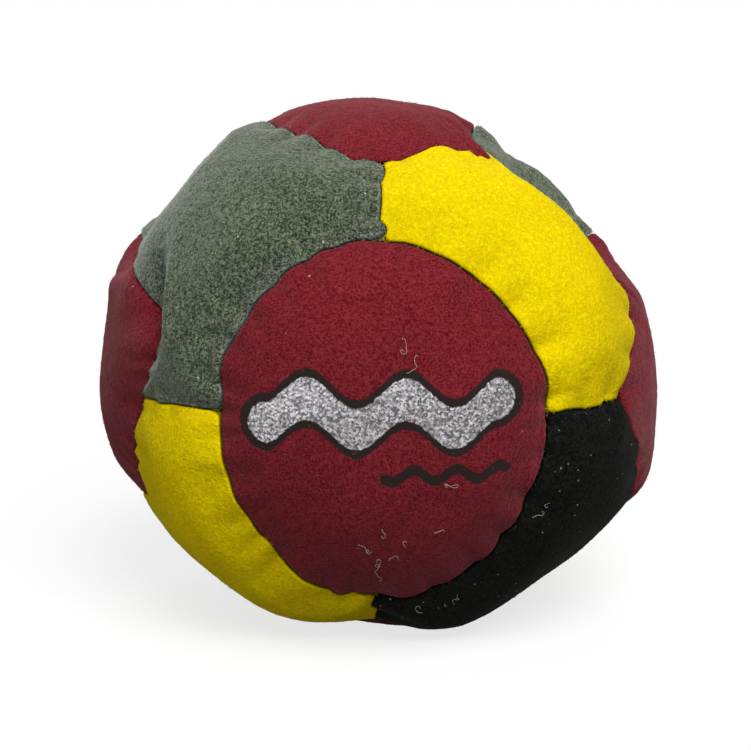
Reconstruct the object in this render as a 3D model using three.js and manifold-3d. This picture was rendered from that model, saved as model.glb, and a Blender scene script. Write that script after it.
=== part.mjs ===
// Footbag: fourteen suede panels sewn into a small ball and part filled with sand.
// Six round panels face the six sides, and eight three-armed panels fill the corners between them.
// Millimetres, +Z up, the front round panel faces -Y, and the bag rests on z = 0.

import * as THREE from "three";
import { mergeVertices } from "three/addons/utils/BufferGeometryUtils.js";
import Module from "manifold-3d";

// The ball before it settles on its foot
const BALL_WIDTH = 53;
const BALL_DEPTH = 52;
const BALL_HEIGHT = 52.2;
const FOOT_FLATTENING = 2.6;

// The suede, and how it turns in at a seam
const SUEDE_THICKNESS = 0.8;
const ARM_WIDTH = 10.8;
const SEAM_DEPTH = 2.1;
const SHOULDER_WIDTH = 4.6;
const SEAM_ALLOWANCE = 3;
const SEAM_GAP = 0.3;
const CORNER_SWELL = 0.6;
const PUCKER_DEPTH = 1;
const PUCKER_SPREAD = 3.2;

// The thread and its needle holes
const THREAD_DIAMETER = 0.5;
const THREAD_CLEARANCE = 0.25;
const THREAD_TAIL = 1.3;
const THREAD_SIDES = 5;

// The sand
const SAND_LEVEL = 30;
const SAND_CLEARANCE = 0.3;
const SAND_CORE_COLUMNS = 24;
const SAND_CORE_ROWS = 14;

// Faces along a quarter of a round seam and along an arm's end, and which of them have a needle hole
const QUARTERS = 4;
const ARC_COLUMNS = 6;
const ARC_HOLES = [1, 4];
const END_COLUMNS = 2;
const END_HOLES = [0, 1];

// How far the roll stands from the seam and below the crown, and the ring half way up a panel
const ROLL_SHARES = { across: 0.3, down: 0.286 };
const INNER_BROW_SHARE = 0.5;
const MIDDLE_RING_SHARE = 0.35;
const MID_COLUMN_SHARE = 0.5;

// Pulls that draw the seams over the ball, as shares of PULL and PULL_SPREAD. Azimuth is counted from
// the front round the bag's right, in degrees.
const PULL = 3;
const PULL_SPREAD = 7;
const PULL_SHARES = [
  { azimuth: 0, elevation: -46, right: 0, up: -1.1, spread: 2 },
  { azimuth: 0, elevation: -34, right: 0, up: -0.5, spread: 1 },
  { azimuth: 24, elevation: -36, right: 0.4, up: -0.6, spread: 0.9 },
  { azimuth: -24, elevation: -36, right: -0.4, up: -0.6, spread: 0.9 },
  { azimuth: 33, elevation: -3, right: 0.25, up: -0.2, spread: 1.1 },
  { azimuth: -33, elevation: 0, right: -0.15, up: 0, spread: 0.9 },
  { azimuth: 0, elevation: 33, right: 0, up: 0.3, spread: 1 },
  { azimuth: -60, elevation: 56, right: -0.2, up: 1.2, spread: 1.3 },
  { azimuth: 22, elevation: 60, right: 0.15, up: 0.4, spread: 0.85 },
  { azimuth: 90, elevation: 46, right: -1.3, up: 0.2, spread: 1.5 },
  { azimuth: 90, elevation: 66, right: -0.5, up: 0.8, spread: 1.1 },
  { azimuth: 64, elevation: 10, right: 1, up: -0.25, spread: 0.9 },
  { azimuth: 62, elevation: -20, right: 1.2, up: 0, spread: 1 },
  { azimuth: -70, elevation: 30, right: -1.1, up: 0, spread: 0.9 },
  { azimuth: -60, elevation: 14, right: 0.9, up: 0, spread: 0.65 },
  { azimuth: -62, elevation: -8, right: -0.8, up: 0.15, spread: 1 },
  { azimuth: -90, elevation: -34, right: 0, up: 0.8, spread: 1 },
];

// Swells and flats of the filled ball, as shares of SWELL and SWELL_SPREAD
const SWELL = 1.5;
const SWELL_SPREAD = 8;
const SWELL_SHARES = [
  { azimuth: 90, elevation: 48, out: -1, spread: 1.25 },
  { azimuth: 90, elevation: -30, out: 1, spread: 1.1 },
  { azimuth: -90, elevation: -15, out: 0.7, spread: 1 },
  { azimuth: -90, elevation: 26, out: 0.4, spread: 0.75 },
  { azimuth: -75, elevation: 52, out: 0.7, spread: 0.65 },
  { azimuth: -75, elevation: 38, out: -0.4, spread: 0.65 },
  { azimuth: 70, elevation: -70, out: 0.6, spread: 0.9 },
  { azimuth: -60, elevation: -70, out: -0.5, spread: 0.75 },
];

const suede = (color) => new THREE.MeshStandardMaterial({ color, roughness: 0.95, metalness: 0 });
const FINISHES = {
  maroon: () => suede(0x6d1f2c),
  yellow: () => suede(0xe8d400),
  green: () => suede(0x4f6453),
  black: () => suede(0x171716),
  thread: () => new THREE.MeshStandardMaterial({ color: 0x15120f, roughness: 0.7, metalness: 0 }),
  sand: () => new THREE.MeshStandardMaterial({ color: 0xc2a878, roughness: 1, metalness: 0 }),
};

// The outward axis of each round panel, and the colour of each corner panel
const SIDES = {
  front: new THREE.Vector3(0, -1, 0),
  back: new THREE.Vector3(0, 1, 0),
  left: new THREE.Vector3(-1, 0, 0),
  right: new THREE.Vector3(1, 0, 0),
  top: new THREE.Vector3(0, 0, 1),
  bottom: new THREE.Vector3(0, 0, -1),
};
const CORNER_COLOURS = {
  front_top_left: "green",
  front_top_right: "yellow",
  front_bottom_left: "yellow",
  front_bottom_right: "black",
  back_top_left: "yellow",
  back_top_right: "green",
  back_bottom_left: "black",
  back_bottom_right: "yellow",
};
const CLOSING_SIDE = "back";

// Worked out from the sizes above
const BALL_RADIUS = (BALL_WIDTH + BALL_DEPTH + BALL_HEIGHT) / 6;
const CENTRE = new THREE.Vector3(0, 0, BALL_HEIGHT / 2 - FOOT_FLATTENING);
const DISC_ANGLE = Math.PI / 4 - ARM_WIDTH / 2 / BALL_RADIUS;
const HALF_GAP = SEAM_GAP / 2;
const INNER_SETBACK = HALF_GAP + SUEDE_THICKNESS;
const SHOULDER_SETBACK = HALF_GAP + SHOULDER_WIDTH;
const ROLL_SETBACK = HALF_GAP + SHOULDER_WIDTH * ROLL_SHARES.across;
const HEM_LIFT = -(SEAM_DEPTH + SEAM_ALLOWANCE);
const STITCH_LIFT = -(SEAM_DEPTH + SEAM_ALLOWANCE / 2);
const STITCH_SETBACK = INNER_SETBACK + THREAD_CLEARANCE + THREAD_DIAMETER / 2;
const HALF_HOLE = THREAD_DIAMETER / 2 + THREAD_CLEARANCE;
const QUARTER_TURN = (2 * Math.PI) / QUARTERS;
const COLUMN_TURN = QUARTER_TURN / ARC_COLUMNS;

// The direction at an azimuth and elevation, with the directions to its right and upwards
function facing({ azimuth, elevation }) {
  const across = THREE.MathUtils.degToRad(azimuth);
  const rise = THREE.MathUtils.degToRad(elevation);
  const at = new THREE.Vector3(Math.sin(across), -Math.cos(across), 0).multiplyScalar(Math.cos(rise));
  at.z = Math.sin(rise);
  const right = new THREE.Vector3(Math.cos(across), Math.sin(across), 0);
  return { at, right, up: at.clone().cross(right) };
}

const PULLS = PULL_SHARES.map((share) => {
  const { at, right, up } = facing(share);
  const by = right.multiplyScalar(share.right * PULL).addScaledVector(up, share.up * PULL);
  return { at, by, spread: share.spread * PULL_SPREAD };
});
const SWELLS = SWELL_SHARES.map((share) => {
  const { at } = facing(share);
  return { at, out: share.out * SWELL, spread: share.spread * SWELL_SPREAD };
});

// The two ends of every short seam, where four panels meet and the bag puckers
const JUNCTIONS = Object.values(SIDES).flatMap((axis) =>
  Object.values(SIDES)
    .filter((other) => other.dot(axis) === 0)
    .map((other) => between(axis, other, DISC_ANGLE)),
);

// The direction that lies at an angle from one direction on the way to a second, square to it
function between(from, to, angle) {
  return from.clone().multiplyScalar(Math.cos(angle)).addScaledVector(to, Math.sin(angle));
}

// One where a direction meets a place, fading to nothing a few spreads away
function nearness(direction, at, spread) {
  const apart = direction.angleTo(at) * BALL_RADIUS;
  return Math.exp(-((apart / spread) ** 2));
}

// A direction of the even layout after the pulls on the seams
function pulled(direction) {
  const moved = direction.clone();
  for (const { at, by, spread } of PULLS) {
    moved.addScaledVector(by, nearness(direction, at, spread) / BALL_RADIUS);
  }
  return moved.normalize();
}

// The crown surface's distance from the centre
function crownRadius(direction, evenDirection) {
  const x = direction.x / (BALL_WIDTH / 2);
  const y = direction.y / (BALL_DEPTH / 2);
  const z = direction.z / (BALL_HEIGHT / 2);
  let radius = 1 / Math.hypot(x, y, z);
  for (const { at, out, spread } of SWELLS) {
    radius += out * nearness(direction, at, spread);
  }
  for (const junction of JUNCTIONS) {
    radius -= PUCKER_DEPTH * nearness(evenDirection, junction, PUCKER_SPREAD);
  }
  return radius;
}

// The point at a lift from the crown surface, kept above the floor with the suede below it
function lifted(direction, evenDirection, lift) {
  const point = direction.clone().multiplyScalar(crownRadius(direction, evenDirection) + lift);
  point.add(CENTRE);
  point.z = Math.max(point.z, -lift);
  return point;
}

// A point inside a panel, by its direction in the even layout
function place(evenDirection, lift) {
  return lifted(pulled(evenDirection), evenDirection, lift);
}

// A point beside a seam, which keeps its true distance from the seam however the seam is pulled
function placeBeside({ seam, spot }, lift) {
  const apart = seam.angleTo(spot);
  const probe = seam.clone().lerp(spot, SHOULDER_WIDTH / BALL_RADIUS / apart).normalize();
  const base = pulled(seam);
  const ahead = pulled(probe);
  ahead.addScaledVector(base, -ahead.dot(base)).normalize();
  return lifted(between(base, ahead, apart), spot, lift);
}

// The seam round a round panel. Its columns are counted from the first side vector to the second, and
// a setback is positive towards the round panel.
class DiscSeam {
  constructor(axis, first, second) {
    this.axis = axis;
    this.first = first;
    this.second = second;
  }
  static around(axis) {
    const first = new THREE.Vector3(axis.y, axis.z, axis.x);
    return new DiscSeam(axis, first, axis.clone().cross(first));
  }
  direction(turn, setback) {
    const aside = this.first.clone().multiplyScalar(Math.cos(turn));
    aside.addScaledVector(this.second, Math.sin(turn));
    return between(this.axis, aside, DISC_ANGLE - setback / BALL_RADIUS);
  }
  at(column, setback) {
    const turn = column * COLUMN_TURN;
    return { seam: this.direction(turn, 0), spot: this.direction(turn, setback) };
  }
}

// The short seam between two round panels, where the arms of two corner panels meet. A setback is
// positive towards the side vector.
class ArmSeam {
  constructor(from, to) {
    this.from = from;
    this.to = to;
    this.side = from.clone().cross(to);
  }
  direction(column, setback) {
    const share = column / END_COLUMNS;
    const turn = THREE.MathUtils.lerp(DISC_ANGLE, QUARTER_TURN - DISC_ANGLE, share);
    return between(between(this.from, this.to, turn), this.side, setback / BALL_RADIUS);
  }
  at(column, setback) {
    return { seam: this.direction(column, 0), spot: this.direction(column, setback) };
  }
}

// A point beside a seam at needle height or near it. A whole column number is a column's start, a half
// its middle, and along moves the point along the column by a length.
function pointBeside(seam, column, setback, lift, along = 0) {
  const start = Math.floor(column);
  const from = placeBeside(seam.at(start, setback), lift);
  const to = placeBeside(seam.at(start + 1, setback), lift);
  return from.lerp(to, column - start + along / from.distanceTo(to));
}

// The rim of a round panel: one ring of columns, with needle holes in some of them
function discRim(axis) {
  const seam = DiscSeam.around(axis);
  const count = QUARTERS * ARC_COLUMNS;
  const ring = (setback) => Array.from({ length: count }, (_, i) => seam.at(i, setback));
  const holes = Array.from({ length: QUARTERS }, (_, quarter) => quarter * ARC_COLUMNS).flatMap((start) =>
    ARC_HOLES.map((column) => ({ seam, column: start + column, rimColumn: start + column, hand: 1 })),
  );
  return { ring, holes, middle: axis };
}

// The rim of a corner panel: three hollow arcs beside round panels, joined by the ends of its arms
function cornerRim(axes) {
  const sides = axes.map((axis, i) => {
    const next = axes[(i + 1) % axes.length];
    const last = axes[(i + 2) % axes.length];
    return { arc: new DiscSeam(axis, last, next), end: new ArmSeam(axis, next) };
  });
  const ring = (setback) => sides.flatMap((side) => cornerRimSide(side, setback));
  const holes = sides.flatMap(({ arc, end }, i) => {
    const start = i * (ARC_COLUMNS + END_COLUMNS);
    const endStart = start + ARC_COLUMNS;
    return [
      ...ARC_HOLES.map((column) => ({ seam: arc, column, rimColumn: start + column, hand: -1 })),
      ...END_HOLES.map((column) => ({ seam: end, column, rimColumn: endStart + column, hand: 1 })),
    ];
  });
  const middle = axes[0].clone().add(axes[1]).add(axes[2]).normalize();
  return { ring, holes, middle };
}

// One arc and one arm's end of a corner rim. The arc starts and stops where its setback meets those of
// the arms' ends, and its other columns stay square to the seam.
function cornerRimSide({ arc, end }, setback) {
  const back = setback / BALL_RADIUS;
  const start = Math.asin(Math.sin(back) / Math.sin(DISC_ANGLE + back));
  const points = Array.from({ length: ARC_COLUMNS + 1 }, (_, i) => {
    const turn = THREE.MathUtils.clamp(i * COLUMN_TURN, start, QUARTER_TURN - start);
    return { seam: arc.direction(i * COLUMN_TURN, 0), spot: arc.direction(turn, -setback) };
  });
  for (let column = 1; column < END_COLUMNS; column += 1) {
    points.push(end.at(column, setback));
  }
  return points;
}

// Faces gathered one by one, which become one closed geometry
class FaceBuilder {
  constructor() {
    this.positions = [];
  }
  triangle(...corners) {
    for (const corner of corners) {
      this.positions.push(corner.x, corner.y, corner.z);
    }
  }
  quad(a, b, c, d) {
    this.triangle(a, b, c);
    this.triangle(a, c, d);
  }
  // Faces between two rings that run anticlockwise seen from outside, the first below the second
  band(lower, upper, isLeftOut = () => false) {
    lower.forEach((corner, i) => {
      const next = (i + 1) % lower.length;
      if (!isLeftOut(i)) {
        this.quad(corner, lower[next], upper[next], upper[i]);
      }
    });
  }
  fan(ring, apex) {
    ring.forEach((corner, i) => this.triangle(corner, ring[(i + 1) % ring.length], apex));
  }
  geometry() {
    const made = new THREE.BufferGeometry();
    made.setAttribute("position", new THREE.Float32BufferAttribute(this.positions, 3));
    return mergeVertices(made);
  }
}

// One skin of a panel: its hem, the rings beside the seam, the shoulder, and a ring half way to its middle
function skin(rim, { hem, beside, shoulderLift, middleLift }) {
  const ringBeside = ([setback, lift]) => rim.ring(setback).map((spot) => placeBeside(spot, lift));
  const shoulder = rim.ring(SHOULDER_SETBACK).map(({ spot }) => spot);
  const halfWay = shoulder.map((spot) => spot.clone().lerp(rim.middle, MIDDLE_RING_SHARE).normalize());
  const rings = [
    ...beside.map(ringBeside),
    shoulder.map((spot) => place(spot, shoulderLift)),
    halfWay.map((spot) => place(spot, middleLift)),
  ];
  return { hem: ringBeside(hem), rings, centre: place(rim.middle, middleLift) };
}

// A panel: crowned outside, rolled in at its rim, with a hem inside the bag that has the needle holes
function panelGeometry(rim, swell) {
  const outer = skin(rim, {
    hem: [HALF_GAP, HEM_LIFT],
    beside: [
      [HALF_GAP, -SEAM_DEPTH],
      [ROLL_SETBACK, -SEAM_DEPTH * ROLL_SHARES.down],
    ],
    shoulderLift: 0,
    middleLift: swell,
  });
  const inner = skin(rim, {
    hem: [INNER_SETBACK, HEM_LIFT],
    beside: [[INNER_SETBACK, -SEAM_DEPTH * INNER_BROW_SHARE - SUEDE_THICKNESS]],
    shoulderLift: -SUEDE_THICKNESS,
    middleLift: swell - SUEDE_THICKNESS,
  });
  const faces = new FaceBuilder();
  const isHoled = (column) => rim.holes.some((hole) => hole.rimColumn === column);
  faces.band(outer.hem, outer.rings[0], isHoled);
  outer.rings.slice(1).forEach((ring, i) => faces.band(outer.rings[i], ring));
  faces.fan(outer.rings.at(-1), outer.centre);
  faces.band(inner.rings[0], inner.hem, isHoled);
  inner.rings.slice(1).forEach((ring, i) => faces.band(ring, inner.rings[i]));
  faces.fan([...inner.rings.at(-1)].reverse(), inner.centre);
  faces.band(inner.hem, outer.hem);
  rim.holes.forEach((hole) => addNeedleHole(faces, hole, outer, inner));
  return faces.geometry();
}

// One column of the hem with a square needle hole through it
function addNeedleHole(faces, { seam, column, rimColumn, hand }, outer, inner) {
  const frame = ({ hem, rings: [brow] }) => {
    const next = (rimColumn + 1) % hem.length;
    return [hem[rimColumn], hem[next], brow[next], brow[rimColumn]];
  };
  const mouth = (setback) => {
    const corner = (across, rise) =>
      pointBeside(seam, column + MID_COLUMN_SHARE, hand * setback, STITCH_LIFT + rise, across);
    return [
      corner(-HALF_HOLE, -HALF_HOLE),
      corner(HALF_HOLE, -HALF_HOLE),
      corner(HALF_HOLE, HALF_HOLE),
      corner(-HALF_HOLE, HALF_HOLE),
    ];
  };
  const outerMouth = mouth(HALF_GAP);
  const innerMouth = mouth(INNER_SETBACK);
  faces.band(frame(outer), outerMouth);
  faces.band(innerMouth, frame(inner));
  faces.band(outerMouth, innerMouth);
}

// A path that runs straight from each point to the next
class StitchPath extends THREE.Curve {
  constructor(points) {
    super();
    this.points = points;
  }
  getPoint(share, target = new THREE.Vector3()) {
    const along = share * (this.points.length - 1);
    const i = Math.min(Math.floor(along), this.points.length - 2);
    return target.copy(this.points[i]).lerp(this.points[i + 1], along - i);
  }
  getPointAt(share, target) {
    return this.getPoint(share, target);
  }
  getTangentAt(share, target = new THREE.Vector3()) {
    const last = this.points.length - 1;
    const i = Math.round(share * last);
    const here = this.points[i];
    const arriving = here.clone().sub(this.points[Math.max(i - 1, 0)]).normalize();
    const leaving = this.points[Math.min(i + 1, last)].clone().sub(here).normalize();
    return target.copy(arriving).add(leaving).normalize();
  }
}

// A running stitch along a seam. It starts and ends with a tail, changes sides at each crossing, and
// follows the hem over the rests between crossings.
function threadGeometry(seam, stops) {
  let side = 1;
  const spot = ({ column, along }) =>
    pointBeside(seam, column, side * STITCH_SETBACK, STITCH_LIFT, along);
  const points = [];
  for (const stop of stops) {
    points.push(spot(stop));
    if (stop.isCrossing) {
      side = -side;
      points.push(spot(stop));
    }
  }
  const section = new THREE.Shape(
    Array.from({ length: THREAD_SIDES }, (_, i) => {
      const turn = (i / THREAD_SIDES) * 2 * Math.PI;
      return new THREE.Vector2(Math.cos(turn), Math.sin(turn)).multiplyScalar(THREAD_DIAMETER / 2);
    }),
  );
  const steps = points.length - 1;
  return new THREE.ExtrudeGeometry(section, { steps, extrudePath: new StitchPath(points) });
}

// The stops of a thread that crosses at the middle of each of these columns
function stitchStops(columns, tail) {
  const stops = [{ column: columns[0] + MID_COLUMN_SHARE, along: -tail }];
  columns.forEach((column, i) => {
    stops.push({ column: column + MID_COLUMN_SHARE, isCrossing: true });
    for (let rest = column + 1; rest <= columns[i + 1]; rest += 1) {
      stops.push({ column: rest });
    }
  });
  stops.push({ column: columns.at(-1) + MID_COLUMN_SHARE, along: tail });
  return stops;
}

// The thread of a round seam over some of its quarters. It lies behind the round panel's hem where it
// passes the arms' ends, and behind the corner panel's hem between each quarter's needle holes.
function discThread(axis, firstQuarter, quarters) {
  const columns = Array.from({ length: quarters }, (_, i) => (firstQuarter + i) * ARC_COLUMNS).flatMap(
    (start) => ARC_HOLES.map((column) => start + column),
  );
  return threadGeometry(DiscSeam.around(axis), stitchStops(columns, THREAD_TAIL));
}

// The thread of a short seam, with its tails turned towards the seam's middle
function armThread(from, to) {
  return threadGeometry(new ArmSeam(from, to), stitchStops(END_HOLES, -THREAD_TAIL));
}

// The sand: a core inside the hems with a pad that fills each panel out, level on top
async function sandGeometry(rims) {
  const wasm = await Module();
  wasm.setup();
  const solid = (geometry) => {
    const bare = geometry.clone();
    bare.deleteAttribute("normal");
    bare.deleteAttribute("uv");
    const merged = mergeVertices(bare);
    const vertProperties = merged.attributes.position.array;
    return new wasm.Manifold(
      new wasm.Mesh({ numProp: 3, vertProperties, triVerts: new Uint32Array(merged.index.array) }),
    );
  };
  let sand = solid(sandCoreGeometry());
  for (const rim of rims) {
    sand = sand.add(solid(sandPadGeometry(rim)));
  }
  const air = new THREE.BoxGeometry(2 * BALL_WIDTH, 2 * BALL_DEPTH, BALL_HEIGHT);
  air.translate(0, 0, SAND_LEVEL + BALL_HEIGHT / 2);
  const made = sand.subtract(solid(air)).getMesh();
  const geometry = new THREE.BufferGeometry();
  geometry.setAttribute("position", new THREE.BufferAttribute(made.vertProperties, made.numProp));
  geometry.setIndex(new THREE.BufferAttribute(made.triVerts, 1));
  return geometry;
}

const SAND_CORE_LIFT = HEM_LIFT - PUCKER_DEPTH - SAND_CLEARANCE;

function sandCoreGeometry() {
  const core = new THREE.SphereGeometry(1, SAND_CORE_COLUMNS, SAND_CORE_ROWS);
  const spots = core.attributes.position;
  for (let i = 0; i < spots.count; i += 1) {
    const direction = new THREE.Vector3().fromBufferAttribute(spots, i).normalize();
    const point = place(direction, SAND_CORE_LIFT);
    spots.setXYZ(i, point.x, point.y, point.z);
  }
  return core;
}

// The sand between one panel's hems, from inside the core out to the suede
function sandPadGeometry(rim) {
  const setback = STITCH_SETBACK + THREAD_DIAMETER / 2 + SAND_CLEARANCE;
  const brimLift = -(SEAM_DEPTH + SUEDE_THICKNESS);
  const crownLift = -(SUEDE_THICKNESS + SAND_CLEARANCE);
  const sunkLift = SAND_CORE_LIFT - SUEDE_THICKNESS;
  const sunk = rim.ring(setback).map((spot) => placeBeside(spot, sunkLift));
  const brim = rim.ring(setback).map((spot) => placeBeside(spot, brimLift));
  const crown = rim.ring(SHOULDER_SETBACK).map(({ spot }) => place(spot, crownLift));
  const faces = new FaceBuilder();
  faces.band(sunk, brim);
  faces.band(brim, crown);
  faces.fan(crown, place(rim.middle, crownLift));
  faces.fan([...sunk].reverse(), place(rim.middle, sunkLift));
  return faces.geometry();
}

const bag = new THREE.Group();

function addPiece(name, geometry, material) {
  const piece = new THREE.Mesh(geometry, material);
  piece.name = name;
  bag.add(piece);
}

const rims = [];

for (const [side, axis] of Object.entries(SIDES)) {
  const rim = discRim(axis);
  rims.push(rim);
  addPiece(`${side}_disc`, panelGeometry(rim, 0), FINISHES.maroon());
}

for (const [corner, colour] of Object.entries(CORNER_COLOURS)) {
  const [depthSide, heightSide, widthSide] = corner.split("_");
  const axes = [SIDES[widthSide], SIDES[depthSide], SIDES[heightSide]];
  if (axes[0].clone().cross(axes[1]).dot(axes[2]) < 0) {
    axes.reverse();
  }
  const rim = cornerRim(axes);
  rims.push(rim);
  addPiece(`corner_${corner}`, panelGeometry(rim, CORNER_SWELL), FINISHES[colour]());
}

// One quarter of the closing side's seam is sewn from outside, after the bag is filled
for (const [side, axis] of Object.entries(SIDES)) {
  const quarters = side === CLOSING_SIDE ? QUARTERS - 1 : QUARTERS;
  addPiece(`thread_${side}_disc`, discThread(axis, 0, quarters), FINISHES.thread());
}
addPiece("closing_thread", discThread(SIDES[CLOSING_SIDE], QUARTERS - 1, 1), FINISHES.thread());

// Short seams are named after the two round panels that they lie between
const SIDE_NAMES = Object.keys(SIDES);
SIDE_NAMES.forEach((sideA, i) => {
  for (const sideB of SIDE_NAMES.slice(i + 1)) {
    if (SIDES[sideA].dot(SIDES[sideB]) === 0) {
      addPiece(`thread_${sideA}_${sideB}`, armThread(SIDES[sideA], SIDES[sideB]), FINISHES.thread());
    }
  }
});

addPiece("sand_fill", await sandGeometry(rims), FINISHES.sand());

export default bag;
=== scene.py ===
"""A footbag of fourteen suede panels, dressed over its CAD frame.

The bag is a small ball sewn from six round panels and eight three-armed corner panels, and part filled
with sand. Everything is in metres in the frame's own axes: +Z is up, the front round panel faces -Y and
the bag rests on z = 0.
"""

import logging
import math
from dataclasses import dataclass, field
from enum import Enum
from functools import cache, cached_property
from itertools import permutations

import bmesh
import bpy
import numpy as np
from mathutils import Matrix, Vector, kdtree, noise


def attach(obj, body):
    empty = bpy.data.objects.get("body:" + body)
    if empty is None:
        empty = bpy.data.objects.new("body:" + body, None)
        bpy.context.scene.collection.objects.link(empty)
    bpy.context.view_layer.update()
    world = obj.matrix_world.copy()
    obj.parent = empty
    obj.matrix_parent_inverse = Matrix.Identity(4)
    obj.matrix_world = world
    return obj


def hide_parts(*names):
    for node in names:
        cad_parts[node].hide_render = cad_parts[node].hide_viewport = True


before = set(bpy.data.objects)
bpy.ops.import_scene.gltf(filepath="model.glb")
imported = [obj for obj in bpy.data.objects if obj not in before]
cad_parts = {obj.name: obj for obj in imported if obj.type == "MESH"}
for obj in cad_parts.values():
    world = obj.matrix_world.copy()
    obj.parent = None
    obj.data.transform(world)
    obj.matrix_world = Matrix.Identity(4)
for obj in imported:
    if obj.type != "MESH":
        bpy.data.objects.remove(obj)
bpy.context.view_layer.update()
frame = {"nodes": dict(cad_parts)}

LOG = logging.getLogger("footbag")
MM = 0.001
Array = np.ndarray
Colour = tuple[float, float, float]
NAP_ROUGHNESS = 0.92


def unit(vectors: Array) -> Array:
    """Scales vectors to length one.

    Args:
        vectors: one vector or an array of them, along the last axis.

    Returns:
        The same shape, each vector of length one.
    """
    return vectors / np.linalg.norm(vectors, axis=-1, keepdims=True)


def facing(azimuth: float, elevation: float) -> tuple[Array, Array, Array]:
    """Gives the direction at an azimuth and elevation, and its neighbours to the right and above.

    Args:
        azimuth: degrees from the front, round the bag's right.
        elevation: degrees above the middle.

    Returns:
        The outward direction, the direction to its right and the direction upwards.
    """
    across, rise = math.radians(azimuth), math.radians(elevation)
    level = math.cos(rise)
    at = np.array([math.sin(across) * level, -math.cos(across) * level, math.sin(rise)])
    right = np.array([math.cos(across), math.sin(across), 0.0])
    return at, right, np.cross(right, -at)


def angles_to(directions: Array, at: Array) -> Array:
    """Angles in radians between many unit directions and one."""
    return np.arccos(np.clip(directions @ at, -1.0, 1.0))


def smoothstep(share: Array) -> Array:
    """Eases zero to one, flat at both ends and held beyond them."""
    held = np.clip(share, 0.0, 1.0)
    return held * held * (3.0 - 2.0 * held)


class Side(Enum):
    """The six ways that round panels face."""

    FRONT = (0.0, -1.0, 0.0)
    BACK = (0.0, 1.0, 0.0)
    LEFT = (-1.0, 0.0, 0.0)
    RIGHT = (1.0, 0.0, 0.0)
    TOP = (0.0, 0.0, 1.0)
    BOTTOM = (0.0, 0.0, -1.0)

    @property
    def axis(self) -> Array:
        """The outward direction of this side."""
        return np.array(self.value)

    @property
    def label(self) -> str:
        """The side's name as the nodes have it."""
        return self.name.lower()


@dataclass(frozen=True)
class Pull:
    """A place where the filled bag draws its seams sideways."""

    azimuth: float
    elevation: float
    right: float
    up: float
    spread: float


@dataclass(frozen=True)
class Swell:
    """A place where the filled ball stands out, or in where out is negative."""

    azimuth: float
    elevation: float
    out: float
    spread: float


@dataclass(frozen=True)
class Flat:
    """A flattened side of the ball: a plane at a reach from the centre, with a soft edge."""

    azimuth: float
    elevation: float
    reach: float
    softness: float


@dataclass(frozen=True)
class Fold:
    """A ridge, or a crease where height is negative, that runs straight from start to end."""

    start: tuple[float, float]
    end: tuple[float, float]
    height: float
    width: float


PULLS = (
    Pull(0, -46, 0, -4.1, 14),
    Pull(0, -34, 0, -1.5, 7),
    Pull(24, -36, 1.2, -1.8, 6.3),
    Pull(-24, -36, -1.1, -1.2, 6.3),
    Pull(33, -3, 1.0, -0.6, 7.7),
    Pull(-33, 0, 0.25, 0, 6.3),
    Pull(0, 33, 0, 0.9, 7),
    Pull(-1, 57, 0, -1.7, 4),
    Pull(57, 1, -1.6, 0, 3.5),
    Pull(-60, 56, -0.6, 3.6, 9.1),
    Pull(22, 60, 0.45, 1.2, 6),
    Pull(90, 46, -6.4, 0.6, 11.5),
    Pull(78, 38, -3.0, -1.4, 7),
    Pull(90, 66, -1.5, 3.4, 7.7),
    Pull(104, 62, 0, 3.0, 5.5),
    Pull(94, 68, 0, 1.3, 3.5),
    Pull(64, 12, 4.4, -0.75, 6.3),
    Pull(62, -20, 3.6, 0, 7),
    Pull(-70, 30, -3.3, 0, 6.3),
    Pull(-61, 15, 4.6, 0, 5.0),
    Pull(-58, 1, 1.1, -0.8, 4.5),
    Pull(6, -60, 0, 1.0, 4.5),
    Pull(-62, -8, -2.4, 0.45, 7),
    Pull(-90, -34, 0, 2.4, 7),
    Pull(-90, 46, -2.2, 0, 8),
)
SWELLS = (
    Swell(90, 48, -1.5, 10),
    Swell(90, -30, 1.5, 8.8),
    Swell(-90, -15, 1.05, 8),
    Swell(-90, 26, 0.6, 6),
    Swell(-75, 52, 1.05, 5.2),
    Swell(-75, 38, -0.6, 5.2),
    Swell(70, -70, 0.9, 7.2),
    Swell(-60, -70, -0.75, 6),
    Swell(-75, 27, 1.0, 4.2),
    Swell(-63, 21, 0.5, 3.0),
    Swell(-88, 59, 0.5, 3.2),
    Swell(62, -12, 0.7, 5.0),
    Swell(-75, -24, -1.1, 4.0),
    Swell(-26, -67, -0.7, 6.0),
    Swell(51, -58, 1.0, 5.0),
    Swell(86, 36, 0.6, 4.0),
    Swell(84, 26, 0.4, 3.5),
    Swell(73, -29, 0.5, 4.0),
    Swell(8, -69, -0.5, 7.0),
    Swell(84, -21, 0.8, 6.0),
    Swell(90, 82, -0.5, 6.0),
    Swell(90, 65, 2.1, 4.0),
    Swell(84, -32, 0.5, 5.0),
    Swell(-80, -25, 0.5, 5.0),
    Swell(20, -78, 0.5, 5.0),
    Swell(-62, -12, -0.4, 5.0),
    Swell(4, -80, -0.5, 5.0),
)
FLATS = (
    Flat(-87, 41, 24.9, 0.15),
    Flat(87, 46.5, 22.8, 0.3),
    Flat(60, -48, 25.2, 0.5),
    Flat(-64, -46, 25.2, 0.5),
)
FOLDS = (
    Fold((-50, 30), (-43, 9), 0.5, 0.9),
    Fold((-56, 30), (-48, 10), -1.3, 1.3),
    Fold((82, 62), (86, 26), 1.0, 2.2),
    Fold((82, 38), (88, 25), 1.1, 2.2),
    Fold((80, 71), (105, 63), 0.7, 2.6),
    Fold((81, 67), (103, 60), 0.65, 2.3),
    Fold((-80, 52), (-35, 62), 0.3, 1.6),
    Fold((-87, 36), (-81, 20), 1.6, 2.8),
)


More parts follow.
